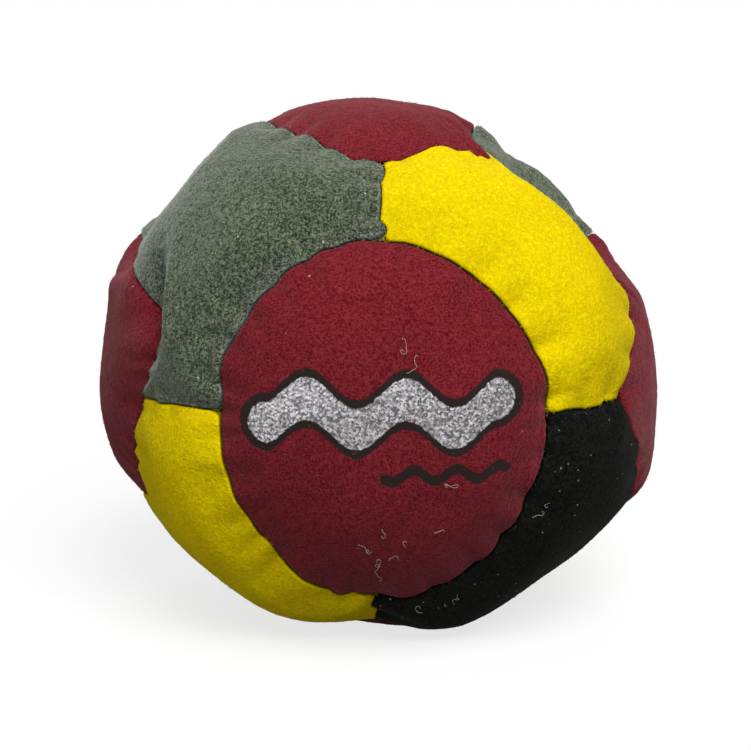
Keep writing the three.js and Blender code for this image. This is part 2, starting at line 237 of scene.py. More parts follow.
@dataclass(frozen=True)
class Seam:
    """One seam with its stitches. Positions along it are lengths from its start."""

    length: float
    seed: int
    lobe: float
    pitch: float = 3.3 * MM
    gap_range: tuple[float, float] = (0.5, 1.5)
    lobe_mean: float = -0.45
    lobe_spread: float = 0.85
    lobe_limits: tuple[float, float] = (-1.9, 1.0)
    stretch_count: int = 7
    stretch_range: tuple[float, float] = (0.2, 1.3)
    puff_range: tuple[float, float] = (0.45, 1.25)
    pull_range: tuple[float, float] = (0.3, 1.3)
    lobe_width: float = 2.2 * MM
    puff: float = 0.1 * MM
    puff_place: float = 1.4 * MM
    puff_width: float = 1.3 * MM
    dimple: float = 0.14 * MM
    dimple_length: float = 0.7 * MM
    dimple_width: float = 1.3 * MM
    pucker: float = 0.06 * MM
    pucker_length: float = 0.8 * MM
    pucker_width: float = 2.6 * MM

    @cached_property
    def stitches(self) -> Array:
        """Where the stitches are along the seam, unevenly spaced as hand-fed work is.

        Returns:
            Places along the seam, from its start to its end.
        """
        rng = np.random.default_rng(self.seed)
        count = max(2, round(self.length / self.pitch))
        gaps = rng.uniform(*self.gap_range, count)
        return np.concatenate([[0.0], np.cumsum(gaps)]) / gaps.sum() * self.length

    @cached_property
    def strengths(self) -> Array:
        """For each gap between stitches: its sideways lobe, its puff, and its first stitch's pull.

        Returns:
            Three rows, with a value for each gap.
        """
        rng = np.random.default_rng(self.seed + 500)
        count = len(self.stitches) - 1
        lobes = np.clip(rng.normal(self.lobe_mean, self.lobe_spread, count), *self.lobe_limits)
        stretches = rng.uniform(*self.stretch_range, self.stretch_count)
        places = np.linspace(0.0, self.stretch_count - 1.0, count)
        lobes *= np.interp(places, np.arange(self.stretch_count), stretches)
        puffs = rng.uniform(*self.puff_range, count)
        return np.stack([lobes, puffs, rng.uniform(*self.pull_range, count)])

    def between_stitches(self, along: Array) -> tuple[Array, Array, Array]:
        """Finds each place's gap between stitches.

        Args:
            along: positions along the seam.

        Returns:
            The gap's number, the share of the way through it, and the distance to the nearest stitch.
        """
        last = len(self.stitches) - 2
        gap = np.clip(np.searchsorted(self.stitches, along, side="right") - 1, 0, last)
        start, end = self.stitches[gap], self.stitches[gap + 1]
        share = np.clip((along - start) / (end - start), 0.0, 1.0)
        return gap, share, np.minimum(np.abs(along - start), np.abs(end - along))

    def sideways(self, along: Array, across: Array) -> Array:
        """How far the seam's line is scalloped to one side, fading away from the seam.

        Args:
            along: positions along the seam.
            across: distances across it.

        Returns:
            A shift for each position.
        """
        gap, share, _ = self.between_stitches(along)
        wave = self.lobe * self.strengths[0][gap] * np.sin(np.pi * share)
        return wave * np.exp(-((across / self.lobe_width) ** 2))

    def rise(self, along: Array, across: Array) -> Array:
        """How far the suede stands up between stitches and is drawn down beside them.

        Args:
            along: positions along the seam.
            across: distances across it.

        Returns:
            A height for each position.
        """
        gap, share, near = self.between_stitches(along)
        away = np.abs(across)
        nearest = np.where(share < 0.5, gap, (gap + 1) % (len(self.stitches) - 1))
        pull = self.strengths[2][nearest]
        puffed = self.puff * self.strengths[1][gap] * np.sin(np.pi * share)
        puffed = puffed * np.exp(-(((away - self.puff_place) / self.puff_width) ** 2))
        hollow = (near / self.dimple_length) ** 2 + (away / self.dimple_width) ** 2
        groove = -((near / self.pucker_length) ** 2) - away / self.pucker_width
        return puffed - self.dimple * pull * np.exp(-hollow) - self.pucker * pull * np.exp(groove)


@dataclass(frozen=True)
class RoundSeam:
    """The seam round one round panel."""

    side: Side
    angle: float
    radius: float
    seam: Seam

    @cached_property
    def frame(self) -> tuple[Array, Array, Array]:
        """The panel's axis and the two directions that its turn is counted between.

        Returns:
            Three unit vectors, square to each other.
        """
        axis = self.side.axis
        first = np.array([axis[1], axis[2], axis[0]])
        return axis, first, np.cross(axis, first)

    def measure(self, even: Array) -> tuple[Array, Array, Array]:
        """Measures places against the seam.

        Args:
            even: unit directions of the even layout.

        Returns:
            The distance across the seam, away from the panel; the place along it; and the direction
            across it at each place.
        """
        axis, first, second = self.frame
        across = (angles_to(even, axis) - self.angle) * self.radius
        turn = np.arctan2(even @ second, even @ first) % (2 * math.pi)
        outward = unit((even @ axis)[:, None] * even - axis + 1e-12)
        return across, turn / (2 * math.pi) * self.seam.length, outward


@dataclass(frozen=True)
class ArmSeam:
    """The short seam between two round panels, where two corner panels' arms meet."""

    first: Side
    second: Side
    angle: float
    radius: float
    seam: Seam

    def measure(self, even: Array) -> tuple[Array, Array, Array]:
        """Measures places against the seam.

        Args:
            even: unit directions of the even layout.

        Returns:
            The distance across the seam, the place along it, and the direction across it. Places beyond
            the seam's ends are far across it.
        """
        start, end = self.first.axis, self.second.axis
        normal = np.cross(start, end)
        turn = np.arctan2(even @ end, even @ start)
        along = (turn - self.angle) * self.radius
        beyond = np.maximum(np.maximum(-along, along - self.seam.length), 0.0)
        across = np.arcsin(np.clip(even @ normal, -1.0, 1.0)) * self.radius
        far = np.hypot(across, 2.0 * beyond) * np.where(across < 0, -1.0, 1.0)
        outward = unit(normal - (even @ normal)[:, None] * even + 1e-12)
        return far, np.clip(along, 0.0, self.seam.length), outward


@dataclass
class FilledSkin:
    """The whole cover as one coarse skin, pinned at its stitches and swollen by a cloth simulation.

    The skin is simulated larger than life, because cloth is tuned for things a metre across.
    """

    seams: list[RoundSeam | ArmSeam]
    radius: float
    scale: float = 20.0
    subdivisions: int = 6
    frames: int = 20
    pressure: float = 4.0
    stiffness: float = 5.0
    bending: float = 0.1
    growth: float = 0.04
    pin_reach: float = 0.9 * MM
    pin_core: float = 1.3
    seam_hold: float = 0.25
    cap: float = 1.3 * MM
    share: float = 0.42
    rows: int = 240
    quality: int = 5
    shear_share: float = 3
    neighbours: int = 3
    least_distance: float = 1e-4

    def hold(self, even: Array) -> Array:
        """How firmly each place is pinned: wholly at a stitch, and a little along a seam.

        Args:
            even: unit directions of the even layout.

        Returns:
            A share from nothing to one for each place.
        """
        held = np.zeros(len(even))
        for line in self.seams:
            across, along, _ = line.measure(even)
            _, _, near = line.seam.between_stitches(along)
            stitch = np.clip(self.pin_core - np.hypot(across, near) / self.pin_reach, 0.0, 1.0)
            beside = self.seam_hold * np.exp(-((across / self.pin_reach) ** 2))
            held = np.maximum(held, np.maximum(stitch, beside))
        return held

    def set_cloth(self, skin: bpy.types.Object) -> None:
        """Adds the cloth that the filling presses out.

        Args:
            skin: the coarse skin.
        """
        cloth = skin.modifiers.new("filling", "CLOTH").settings
        cloth.quality = self.quality
        cloth.tension_stiffness = self.stiffness
        cloth.compression_stiffness = self.stiffness
        cloth.shear_stiffness = self.stiffness / self.shear_share
        cloth.bending_stiffness = self.bending
        cloth.use_pressure = True
        cloth.uniform_pressure_force = self.pressure
        cloth.vertex_group_mass = "pins"
        cloth.shrink_min = -self.growth
        cloth.effector_weights.gravity = 0.0

    def simulated(self) -> tuple[Array, Array]:
        """Runs the simulation on a skin of its own, and removes the skin after it.

        Returns:
            Even directions, and how far each place moved out.
        """
        bm = bmesh.new()
        bmesh.ops.create_icosphere(bm, subdivisions=self.subdivisions, radius=self.radius * self.scale)
        even = unit(np.array([vert.co for vert in bm.verts]))
        skin = finished("filled_skin", bm)
        pins = skin.vertex_groups.new(name="pins")
        for number, held in enumerate(self.hold(even)):
            pins.add([number], float(held), "REPLACE")
        self.set_cloth(skin)
        scene = bpy.context.scene
        for number in range(1, self.frames + 1):
            scene.frame_set(number)
        settled = skin.evaluated_get(bpy.context.evaluated_depsgraph_get()).data
        spots = np.empty(3 * len(settled.vertices))
        settled.vertices.foreach_get("co", spots)
        out = np.linalg.norm(spots.reshape(-1, 3), axis=1) / self.scale - self.radius
        mesh = skin.data
        bpy.data.objects.remove(skin)
        bpy.data.meshes.remove(mesh)
        scene.frame_set(1)
        LOG.info("filled skin: moved out by up to %.2f mm", out.max() / MM)
        return even, np.clip(out, 0.0, self.cap)

    @cached_property
    def grid(self) -> Array:
        """The moves below the most that any place makes, by elevation and azimuth.

        Returns:
            A row for each elevation from below upwards, and a column for each azimuth.
        """
        even, out = self.simulated()
        tree = kdtree.KDTree(len(even))
        for number, direction in enumerate(even):
            tree.insert(direction, number)
        tree.balance()
        rises = np.linspace(-math.pi / 2, math.pi / 2, self.rows)
        turns = np.arange(2 * self.rows) * math.pi / self.rows
        made = np.empty((self.rows, 2 * self.rows))
        for row, rise in enumerate(rises):
            for column, turn in enumerate(turns):
                spot = (math.cos(rise) * math.cos(turn), math.cos(rise) * math.sin(turn), math.sin(rise))
                found = tree.find_n(spot, self.neighbours)
                weights = [1.0 / (distance + self.least_distance) for _, _, distance in found]
                moves = [out[number] for _, number, _ in found]
                made[row, column] = np.dot(weights, moves) / sum(weights)
        return (made - out.max()) * self.share

    def lift(self, even: Array) -> Array:
        """How far the settled skin lies below its crown at even directions.

        Args:
            even: unit directions of the even layout.

        Returns:
            A height for each, never above nothing.
        """
        columns = 2 * self.rows
        turn = np.arctan2(even[:, 1], even[:, 0]) / (2 * math.pi) % 1.0 * columns
        rise = (np.arcsin(np.clip(even[:, 2], -1.0, 1.0)) / math.pi + 0.5) * (self.rows - 1)
        low = np.minimum(rise.astype(int), self.rows - 2)
        left = np.minimum(turn.astype(int), columns - 1)
        across, up = turn - left, rise - low
        right = (left + 1) % columns
        below = (1 - across) * self.grid[low, left] + across * self.grid[low, right]
        above = (1 - across) * self.grid[low + 1, left] + across * self.grid[low + 1, right]
        return (1 - up) * below + up * above


@dataclass
class BallForm:
    """The filled bag's outer form, on which every panel lies."""

    width: float = 53 * MM
    depth: float = 52 * MM
    height: float = 52.2 * MM
    foot_flattening: float = 2.6 * MM
    arm_width: float = 10.8 * MM
    calm_sides: tuple[Side, ...] = (Side.RIGHT,)
    calm_lobe: float = 0.1 * MM
    lobe: float = 0.3 * MM
    corner_swell: float = 0.75 * MM
    pucker_depth: float = 0.35 * MM
    pucker_spread: float = 3.2 * MM
    lump_height: float = 0.22 * MM
    lump_size: float = 7.5 * MM
    nap_height: float = 0.035 * MM
    nap_size: float = 0.55 * MM
    lump_octaves: int = 2
    fold_ends: tuple[float, float] = (0.04, 0.96)
    fold_ease: float = 0.6
    fold_falloff: float = 1.4
    flat_edge: float = 0.3
    seed: int = 11

    @cached_property
    def radius(self) -> float:
        """The even ball's radius."""
        return (self.width + self.depth + self.height) / 6

    @cached_property
    def centre(self) -> Array:
        """The ball's centre above the floor."""
        return np.array([0.0, 0.0, self.height / 2 - self.foot_flattening])

    @cached_property
    def disc_angle(self) -> float:
        """Half the angle that a round panel spans."""
        return math.pi / 4 - self.arm_width / 2 / self.radius

    @cached_property
    def round_seams(self) -> list[RoundSeam]:
        """The seam of each round panel.

        Returns:
            Six seams.
        """
        length = 2 * math.pi * math.sin(self.disc_angle) * self.radius
        made = []
        for number, side in enumerate(Side):
            lobe = self.calm_lobe if side in self.calm_sides else self.lobe
            seam = Seam(length, self.seed + number, lobe)
            made.append(RoundSeam(side, self.disc_angle, self.radius, seam))
        return made

    @cached_property
    def arm_seams(self) -> list[ArmSeam]:
        """The short seams, one for each pair of neighbouring round panels.

        Returns:
            Twelve seams.
        """
        sides = list(Side)
        pairs = [(a, b) for i, a in enumerate(sides) for b in sides[i + 1 :] if a.axis @ b.axis == 0]
        made = []
        for number, (a, b) in enumerate(pairs):
            seam = Seam(self.arm_width, self.seed + 40 + number, self.lobe)
            made.append(ArmSeam(a, b, self.disc_angle, self.radius, seam))
        return made

    @cached_property
    def seams(self) -> list[RoundSeam | ArmSeam]:
        """Every seam, the round ones first."""
        return [*self.round_seams, *self.arm_seams]

    @cached_property
    def skin(self) -> FilledSkin:
        """The cover as the filling presses it out between stitches."""
        return FilledSkin(self.seams, self.radius)

    @cached_property
    def junctions(self) -> list[Array]:
        """The ends of the short seams, where four panels meet.

        Returns:
            Twenty-four unit directions of the even layout.
        """
        return [
            math.cos(self.disc_angle) * a.axis + math.sin(self.disc_angle) * b.axis
            for a in Side
            for b in Side
            if a.axis @ b.axis == 0
        ]

    def nearness(self, directions: Array, at: Array, spread: float) -> Array:
        """One at a place, fading to nothing a few spreads away."""
        return np.exp(-((angles_to(directions, at) * self.radius / spread) ** 2))

    def scalloped(self, even: Array) -> Array:
        """Moves even directions sideways as the stitches scallop the seams.

        Args:
            even: unit directions of the even layout.

        Returns:
            The moved directions.
        """
        moved = even.copy()
        for line in self.seams:
            across, along, outward = line.measure(even)
            moved += outward * (line.seam.sideways(along, across) / self.radius)[:, None]
        return unit(moved)

    def pulled(self, even: Array) -> Array:
        """Moves even directions as the filled bag draws its seams.

        Args:
            even: unit directions.

        Returns:
            The moved directions.
        """
        moved = even.copy()
        for pull in PULLS:
            at, right, up = facing(pull.azimuth, pull.elevation)
            by = (right * pull.right + up * pull.up) * MM
            moved += by * (self.nearness(even, at, pull.spread * MM) / self.radius)[:, None]
        return unit(moved)

    def crown(self, directions: Array, even: Array) -> Array:
        """The distance of the panels' crowns from the centre.

        Args:
            directions: where the places lie, as unit directions.
            even: the same places in the even layout.

        Returns:
            A distance for each place.
        """
        halves = np.array([self.width, self.depth, self.height]) / 2
        reach = 1.0 / np.linalg.norm(directions / halves, axis=1)
        for swell in SWELLS:
            at, _, _ = facing(swell.azimuth, swell.elevation)
            reach += swell.out * MM * self.nearness(directions, at, swell.spread * MM)
        for junction in self.junctions:
            reach -= self.pucker_depth * self.nearness(even, junction, self.pucker_spread)
        for flat in FLATS:
            at, _, _ = facing(flat.azimuth, flat.elevation)
            plane = flat.reach * MM / np.maximum(directions @ at, self.flat_edge)
            soft = flat.softness * MM
            reach = -soft * np.logaddexp(-reach / soft, -plane / soft)
        return reach

    def folds(self, directions: Array) -> Array:
        """The height of ridges and creases at each direction.

        Args:
            directions: where the places lie, as unit directions.

        Returns:
            A height for each place.
        """
        total = np.zeros(len(directions))
        for fold in FOLDS:
            start, end = facing(*fold.start)[0], facing(*fold.end)[0]
            run = end - start
            share = np.clip((directions - start) @ run / (run @ run), 0.0, 1.0)
            away = np.linalg.norm(directions - unit(start + share[:, None] * run), axis=1) * self.radius
            ease = np.sin(np.pi * np.clip(share, *self.fold_ends)) ** self.fold_ease
            across = np.abs(away / (fold.width * MM)) ** self.fold_falloff
            total += fold.height * MM * ease * np.exp(-across)
        return total

    def stitched_rise(self, even: Array) -> Array:
        """Puffs, dimples and puckers beside every seam.

        Args:
            even: unit directions of the even layout.

        Returns:
            A height for each place.
        """
        total = np.zeros(len(even))
        for line in self.seams:
            across, along, _ = line.measure(even)
            total += line.seam.rise(along, across)
        return total

    def lumps(self, directions: Array) -> Array:
        """Uneven filling and the raised nap, as heights.

        Args:
            directions: where the places lie, as unit directions.

        Returns:
            A height for each place.
        """
        heights = np.empty(len(directions))
        for i, direction in enumerate(directions * self.radius):
            spot = Vector(direction)
            lump = noise.fractal(spot / self.lump_size, 1.0, 2.0, self.lump_octaves)
            nap = noise.noise(spot / self.nap_size)
            heights[i] = lump * self.lump_height + nap * self.nap_height
        return heights

    def place(self, even: Array, lift: Array) -> Array:
        """Puts places of the even layout on the filled bag.

        Args:
            even: unit directions of the even layout.
            lift: the height of each over the crown's surface.

        Returns:
            Points in the frame, none below the floor.
        """
        directions = self.pulled(self.scalloped(even))
        detail = self.folds(directions) + self.stitched_rise(even) + self.lumps(directions)
        reach = self.crown(directions, even) + lift + detail + self.skin.lift(even)
        points = directions * reach[:, None] + self.centre
        points[:, 2] = np.maximum(points[:, 2], np.maximum(-lift, 0.0))
        return points


class Wiring:
    """Adds nodes to one node tree and links them."""

    def __init__(self, tree: bpy.types.NodeTree) -> None:
        """Keeps the tree that nodes are added to."""
        self.tree = tree

    def add(self, kind: str, inputs: dict | None = None, **settings: object) -> bpy.types.Node:
        """Adds a node.

        Args:
            kind: the node's type name.
            inputs: values or sockets for its inputs, by name or number.
            settings: properties of the node itself.

        Returns:
            The new node.
        """
        node = self.tree.nodes.new(kind)
        for name, value in settings.items():
            setattr(node, name, value)
        for name, value in (inputs or {}).items():
            self.feed(node.inputs[name], value)
        return node

    def feed(self, socket: bpy.types.NodeSocket, value: object) -> None:
        """Links a socket to an output, or sets it to a plain value.

        Args:
            socket: a node's input.
            value: an output or a plain value.
        """
        if isinstance(value, bpy.types.NodeSocket):
            self.tree.links.new(value, socket)
        else:
            socket.default_value = value

    def math(self, operation: str, a: object, b: object = 0.0, c: object = 0.0) -> bpy.types.NodeSocket:
        """Adds a Math node and gives its value."""
        return self.add("ShaderNodeMath", {0: a, 1: b, 2: c}, operation=operation).outputs[0]

    def vector(self, operation: str, a: object, b: object = (0.0, 0.0, 0.0)) -> bpy.types.NodeSocket:
        """Adds a Vector Math node and gives its vector."""
        return self.add("ShaderNodeVectorMath", {0: a, 1: b}, operation=operation).outputs[0]

    def scaled(self, a: object, by: object) -> bpy.types.NodeSocket:
        """Scales a vector by a number."""
        return self.add("ShaderNodeVectorMath", {0: a, "Scale": by}, operation="SCALE").outputs[0]

    def noise(
        self, vector: object, scale: object, detail: float = 2.0, rough: float = 0.5
    ) -> bpy.types.Node:
        """Adds a three-dimensional noise texture."""
        inputs = {"Vector": vector, "Scale": scale, "Detail": detail, "Roughness": rough}
        return self.add("ShaderNodeTexNoise", inputs)

    def centred(self, colour: object) -> bpy.types.NodeSocket:
        """Moves a noise's colour, whose mean is a half, to lie about nothing."""
        return self.vector("SUBTRACT", colour, (0.5, 0.5, 0.5))

    def spot(self) -> bpy.types.NodeSocket:
        """The place on the object in millimetres."""
        return self.scaled(self.add("ShaderNodeTexCoord").outputs["Object"], 1 / MM)

    def parts(self, colour: object) -> bpy.types.NodeOutputs:
        """Splits a colour into its three numbers."""
        return self.add("ShaderNodeSeparateColor", {"Color": colour}).outputs

    def remap(
        self, value: object, low: object, high: object, to_low: float, to_high: float
    ) -> bpy.types.NodeSocket:
        """Maps a range smoothly to another and holds it there."""
        inputs = {"Value": value, "From Min": low, "From Max": high, "To Min": to_low, "To Max": to_high}
        return self.add("ShaderNodeMapRange", inputs, interpolation_type="SMOOTHSTEP").outputs[0]

    def mix(self, factor: object, a: object, b: object, blend: str = "MIX") -> bpy.types.NodeSocket:
        """Mixes two colours.

        Args:
            factor: the second colour's share.
            a: the first colour.
            b: the second colour.
            blend: how the second is laid over the first.

        Returns:
            The mixed colour.
        """
        node = self.add("ShaderNodeMix", {0: factor}, data_type="RGBA", blend_type=blend)
        self.feed(node.inputs[6], a)
        self.feed(node.inputs[7], b)
        return node.outputs[2]

    def relief(self, shader: bpy.types.Node, height: object, strength: float, depth: float) -> None:
        """Bends a shader's normals by a height, with depth in metres."""
        inputs = {"Height": height, "Strength": strength, "Distance": depth}
        self.feed(shader.inputs["Normal"], self.add("ShaderNodeBump", inputs).outputs[0])


def rgba(colour: Colour) -> tuple[float, float, float, float]:
    """A colour with full opacity."""
    return (*colour, 1.0)


def new_material(
    name: str, values: dict[str, object]
) -> tuple[bpy.types.Material, Wiring, bpy.types.Node]:
    """Makes a material.

    Args:
        name: the material's name.
        values: its shader's inputs by name.

    Returns:
        The material, the wiring of its tree and its shader.
    """
    made = bpy.data.materials.new(name)
    made.use_nodes = True
    shader = made.node_tree.nodes["Principled BSDF"]
    for label, value in values.items():
        shader.inputs[label].default_value = value
    return made, Wiring(made.node_tree), shader


def new_group(
    name: str, inputs: dict[str, tuple[str, object]], outputs: dict[str, str]
) -> bpy.types.NodeTree:
    """Makes an empty shader node group.

    Args:
        name: the group's name.
        inputs: socket type and default of each input.
        outputs: socket type of each output.

    Returns:
        The group with its input and output nodes.
    """
    group = bpy.data.node_groups.new(name, "ShaderNodeTree")
    for label, (kind, default) in inputs.items():
        socket = group.interface.new_socket(label, in_out="INPUT", socket_type=kind)
        if default is not None:
            socket.default_value = default
    for label, kind in outputs.items():
        group.interface.new_socket(label, in_out="OUTPUT", socket_type=kind)
    return group


@dataclass
class EffectGroups:
    """The shared surface effects, each a shader node group that is built once."""

    bend_scale: float = 1.1
    stretches: tuple[tuple[float, float, float], ...] = (
        (1.0, 0.45, 1.0),
        (0.45, 1.0, 1.0),
        (1.0, 1.0, 0.45),
    )
    fleck_range: tuple[float, float] = (1.1, 1.9)
    tuft_scale: float = 1.3
    tuft_share: float = 0.4
    fleck_height: float = 0.6
    tuft_height: float = 0.8
    patch_scale: float = 0.13
    tint_scale: float = 0.7
    speck_bend_scale: float = 6.0
    speck_bend: float = 0.14
    speck_core: float = 0.5

    @cached_property
    def nap(self) -> bpy.types.NodeTree:
        """Clumps of short fibres: their light and dark, height and tint, and broad brushed patches.

        Returns:
            The group.
        """
        inputs = {
            "Vector": ("NodeSocketVector", None),
            "Fleck": ("NodeSocketFloat", 0.3),
            "Curl": ("NodeSocketFloat", 0.4),
        }
        outputs = {
            "Fibre": "NodeSocketFloat",
            "Height": "NodeSocketFloat",
            "Patch": "NodeSocketFloat",
            "Tint": "NodeSocketColor",
        }
        group = new_group("suede_nap", inputs, outputs)
        wiring = Wiring(group)
        entry = wiring.add("NodeGroupInput").outputs
        spot = wiring.scaled(entry["Vector"], 1 / MM)
        bend = wiring.noise(spot, self.bend_scale, 1.0).outputs["Color"]
        bent = wiring.scaled(wiring.centred(bend), entry["Curl"])
        warped = wiring.vector("ADD", spot, bent)
        fine = wiring.math("DIVIDE", 1.0, entry["Fleck"])
        strands = 0.0
        for stretch in self.stretches:
            along = wiring.vector("MULTIPLY", warped, stretch)
            strands = wiring.math("ADD", strands, wiring.noise(along, fine, 2.0, 0.7).outputs["Fac"])
        fleck = wiring.remap(strands, *self.fleck_range, 0.0, 1.0)
        tufts = wiring.noise(warped, self.tuft_scale, 2.0, 0.6).outputs["Fac"]
        fibre = wiring.math("MULTIPLY_ADD", wiring.math("SUBTRACT", tufts, 0.5), self.tuft_share, fleck)
        raised = wiring.math("MULTIPLY", tufts, self.tuft_height)
        height = wiring.math("MULTIPLY_ADD", fleck, self.fleck_height, raised)
        patch = wiring.noise(spot, self.patch_scale, 3.0, 0.6).outputs["Fac"]
        tint = wiring.noise(spot, wiring.math("MULTIPLY", fine, self.tint_scale), 1.0).outputs["Color"]
        end = wiring.add("NodeGroupOutput")
        for label, value in (("Fibre", fibre), ("Height", height), ("Patch", patch), ("Tint", tint)):
            wiring.feed(end.inputs[label], value)
        return group

    @cached_property
    def specks(self) -> bpy.types.NodeTree:
        """Scattered specks: one round fleck in some of the cells of a loose grid.

        Returns:
            The group.
        """
        inputs = {
            "Vector": ("NodeSocketVector", None),
            "Spacing": ("NodeSocketFloat", 1.5),
            "Size": ("NodeSocketFloat", 0.1),
            "Share": ("NodeSocketFloat", 0.3),
        }
        group = new_group("specks", inputs, {"Mask": "NodeSocketFloat"})
        wiring = Wiring(group)
        entry = wiring.add("NodeGroupInput").outputs
        spot = wiring.scaled(entry["Vector"], wiring.math("DIVIDE", 1 / MM, entry["Spacing"]))
        bend = wiring.noise(spot, self.speck_bend_scale, 1.0).outputs["Color"]
        crooked = wiring.vector("ADD", spot, wiring.scaled(bend, self.speck_bend))
        cells = wiring.add("ShaderNodeTexVoronoi", {"Vector": crooked, "Scale": 1.0})
        reach = wiring.math("MULTIPLY", cells.outputs["Distance"], entry["Spacing"])
        core = wiring.math("MULTIPLY", entry["Size"], self.speck_core)
        inside = wiring.remap(reach, core, entry["Size"], 1.0, 0.0)
        draw = wiring.parts(cells.outputs["Color"])[0]
        chosen = wiring.math("LESS_THAN", draw, entry["Share"])
        end = wiring.add("NodeGroupOutput")
        wiring.feed(end.inputs["Mask"], wiring.math("MULTIPLY", inside, chosen))
        return group


EFFECTS = EffectGroups()


@dataclass(frozen=True)
class SuedeFinish:
    """Synthetic suede of one colour, with its nap, flecks and lint."""

    slot: str
    dark: Colour
    light: Colour
    fleck: float
    fleck_strength: float
    tint_strength: float
    patch_strength: float
    speck_colour: Colour
    speck_spacing: float
    speck_size: float
    speck_share: float
    sheen: float
    sheen_tint: Colour
    lean: float = 1.0
    curl: float = 0.4
    # painted shade: the colour darkens to this share at the seam, standing in for the shade in the
    # crevice between panels
    seam_shade_tone: float = 0.14
    # a paler rim along the seams: partly pale frayed fibres of the cut edge, partly painted highlight
    rim_share: float = 0.0
    rim_colour: Colour = (0.3, 0.32, 0.28)
    fuzz: float = 2.6
    fibre_dark: Colour = (0.1, 0.1, 0.1)
    fibre_light: Colour = (0.6, 0.6, 0.6)
    bump: float = 0.08
    bump_strength: float = 0.9
    gloss: float = 0.03
    fibre_roughness: float = 0.9
    fibre_gloss: float = 0.1
    sheen_roughness: float = 0.45
    patch_range: tuple[float, float] = (0.3, 0.7)
    # how far in from the seam, in millimetres, the painted seam shade reaches
    seam_shade_width: float = 0.12
    rim_range: tuple[float, float] = (-0.3, 0.1)
    rim_raggedness: float = 0.5

    def surface(self, wiring: Wiring) -> tuple[bpy.types.NodeSocket, bpy.types.NodeSocket]:
        """Wires the suede's colour and relief, with painted shade darkening the colour towards the seams
        and a paler rim that is partly painted highlight.

        Args:
            wiring: the material's tree.

        Returns:
            The colour and the height of the nap.
        """
        spot = wiring.add("ShaderNodeTexCoord").outputs["Object"]
        nap_inputs = {"Vector": spot, "Fleck": self.fleck, "Curl": self.curl}
        nap = wiring.add("ShaderNodeGroup", nap_inputs, node_tree=EFFECTS.nap).outputs
        speck_inputs = {
            "Vector": spot,
            "Spacing": self.speck_spacing,
            "Size": self.speck_size,
            "Share": self.speck_share,
        }
        specks = wiring.add("ShaderNodeGroup", speck_inputs, node_tree=EFFECTS.specks).outputs
        strength = self.fleck_strength
        share = wiring.math("MULTIPLY_ADD", nap["Fibre"], strength, 0.5 - strength / 2)
        leaned = wiring.math("POWER", wiring.math("MAXIMUM", share, 0.0), self.lean)
        plain = wiring.mix(leaned, rgba(self.dark), rgba(self.light))
        hue = wiring.scaled(wiring.centred(nap["Tint"]), self.tint_strength)
        cloth = wiring.vector("MULTIPLY", plain, wiring.vector("ADD", hue, (1.0, 1.0, 1.0)))
        low, high = 1.0 - self.patch_strength, 1.0 + self.patch_strength
        tone = wiring.remap(nap["Patch"], *self.patch_range, low, high)
        inset = wiring.add("ShaderNodeAttribute", attribute_name="rim_distance").outputs["Fac"]
        # painted shade: darkens the colour towards the seam, where the crevice between panels is in
        # shade
        seam_shade = wiring.remap(inset, 0.0, self.seam_shade_width, self.seam_shade_tone, 1.0)
        brushed = wiring.scaled(cloth, wiring.math("MULTIPLY", tone, seam_shade))
        torn = wiring.math("MULTIPLY", nap["Fibre"], -self.rim_raggedness)
        ragged = wiring.math("ADD", inset, torn)
        # paler rim along the seam: pale frayed fibres together with a painted highlight, faded where the
        # painted seam shade falls
        overlay_share = wiring.remap(ragged, *self.rim_range, self.rim_share, 0.0)
        edged = wiring.mix(wiring.math("MULTIPLY", overlay_share, seam_shade), brushed, rgba(self.rim_colour))
        colour = wiring.mix(specks["Mask"], edged, rgba(self.speck_colour))
        return colour, nap["Height"]

    def material(self, name: str, print_band: "GlitterBand | None" = None) -> bpy.types.Material:
        """Makes the suede's material.

        Args:
            name: the material's name.
            print_band: a print laid over the nap, or none.

        Returns:
            The material.
        """
        values = {
            "Roughness": NAP_ROUGHNESS,
            "Specular IOR Level": self.gloss,
            "Sheen Weight": self.sheen,
            "Sheen Roughness": self.sheen_roughness,
            "Sheen Tint": rgba(self.sheen_tint),
        }
        made, wiring, shader = new_material(name, values)
        colour, height = self.surface(wiring)
        if print_band is not None:
            colour, height = print_band.laid_over(wiring, colour, height, shader)
        wiring.feed(shader.inputs["Base Color"], colour)
        wiring.relief(shader, height, self.bump_strength, self.bump * MM)
        return made


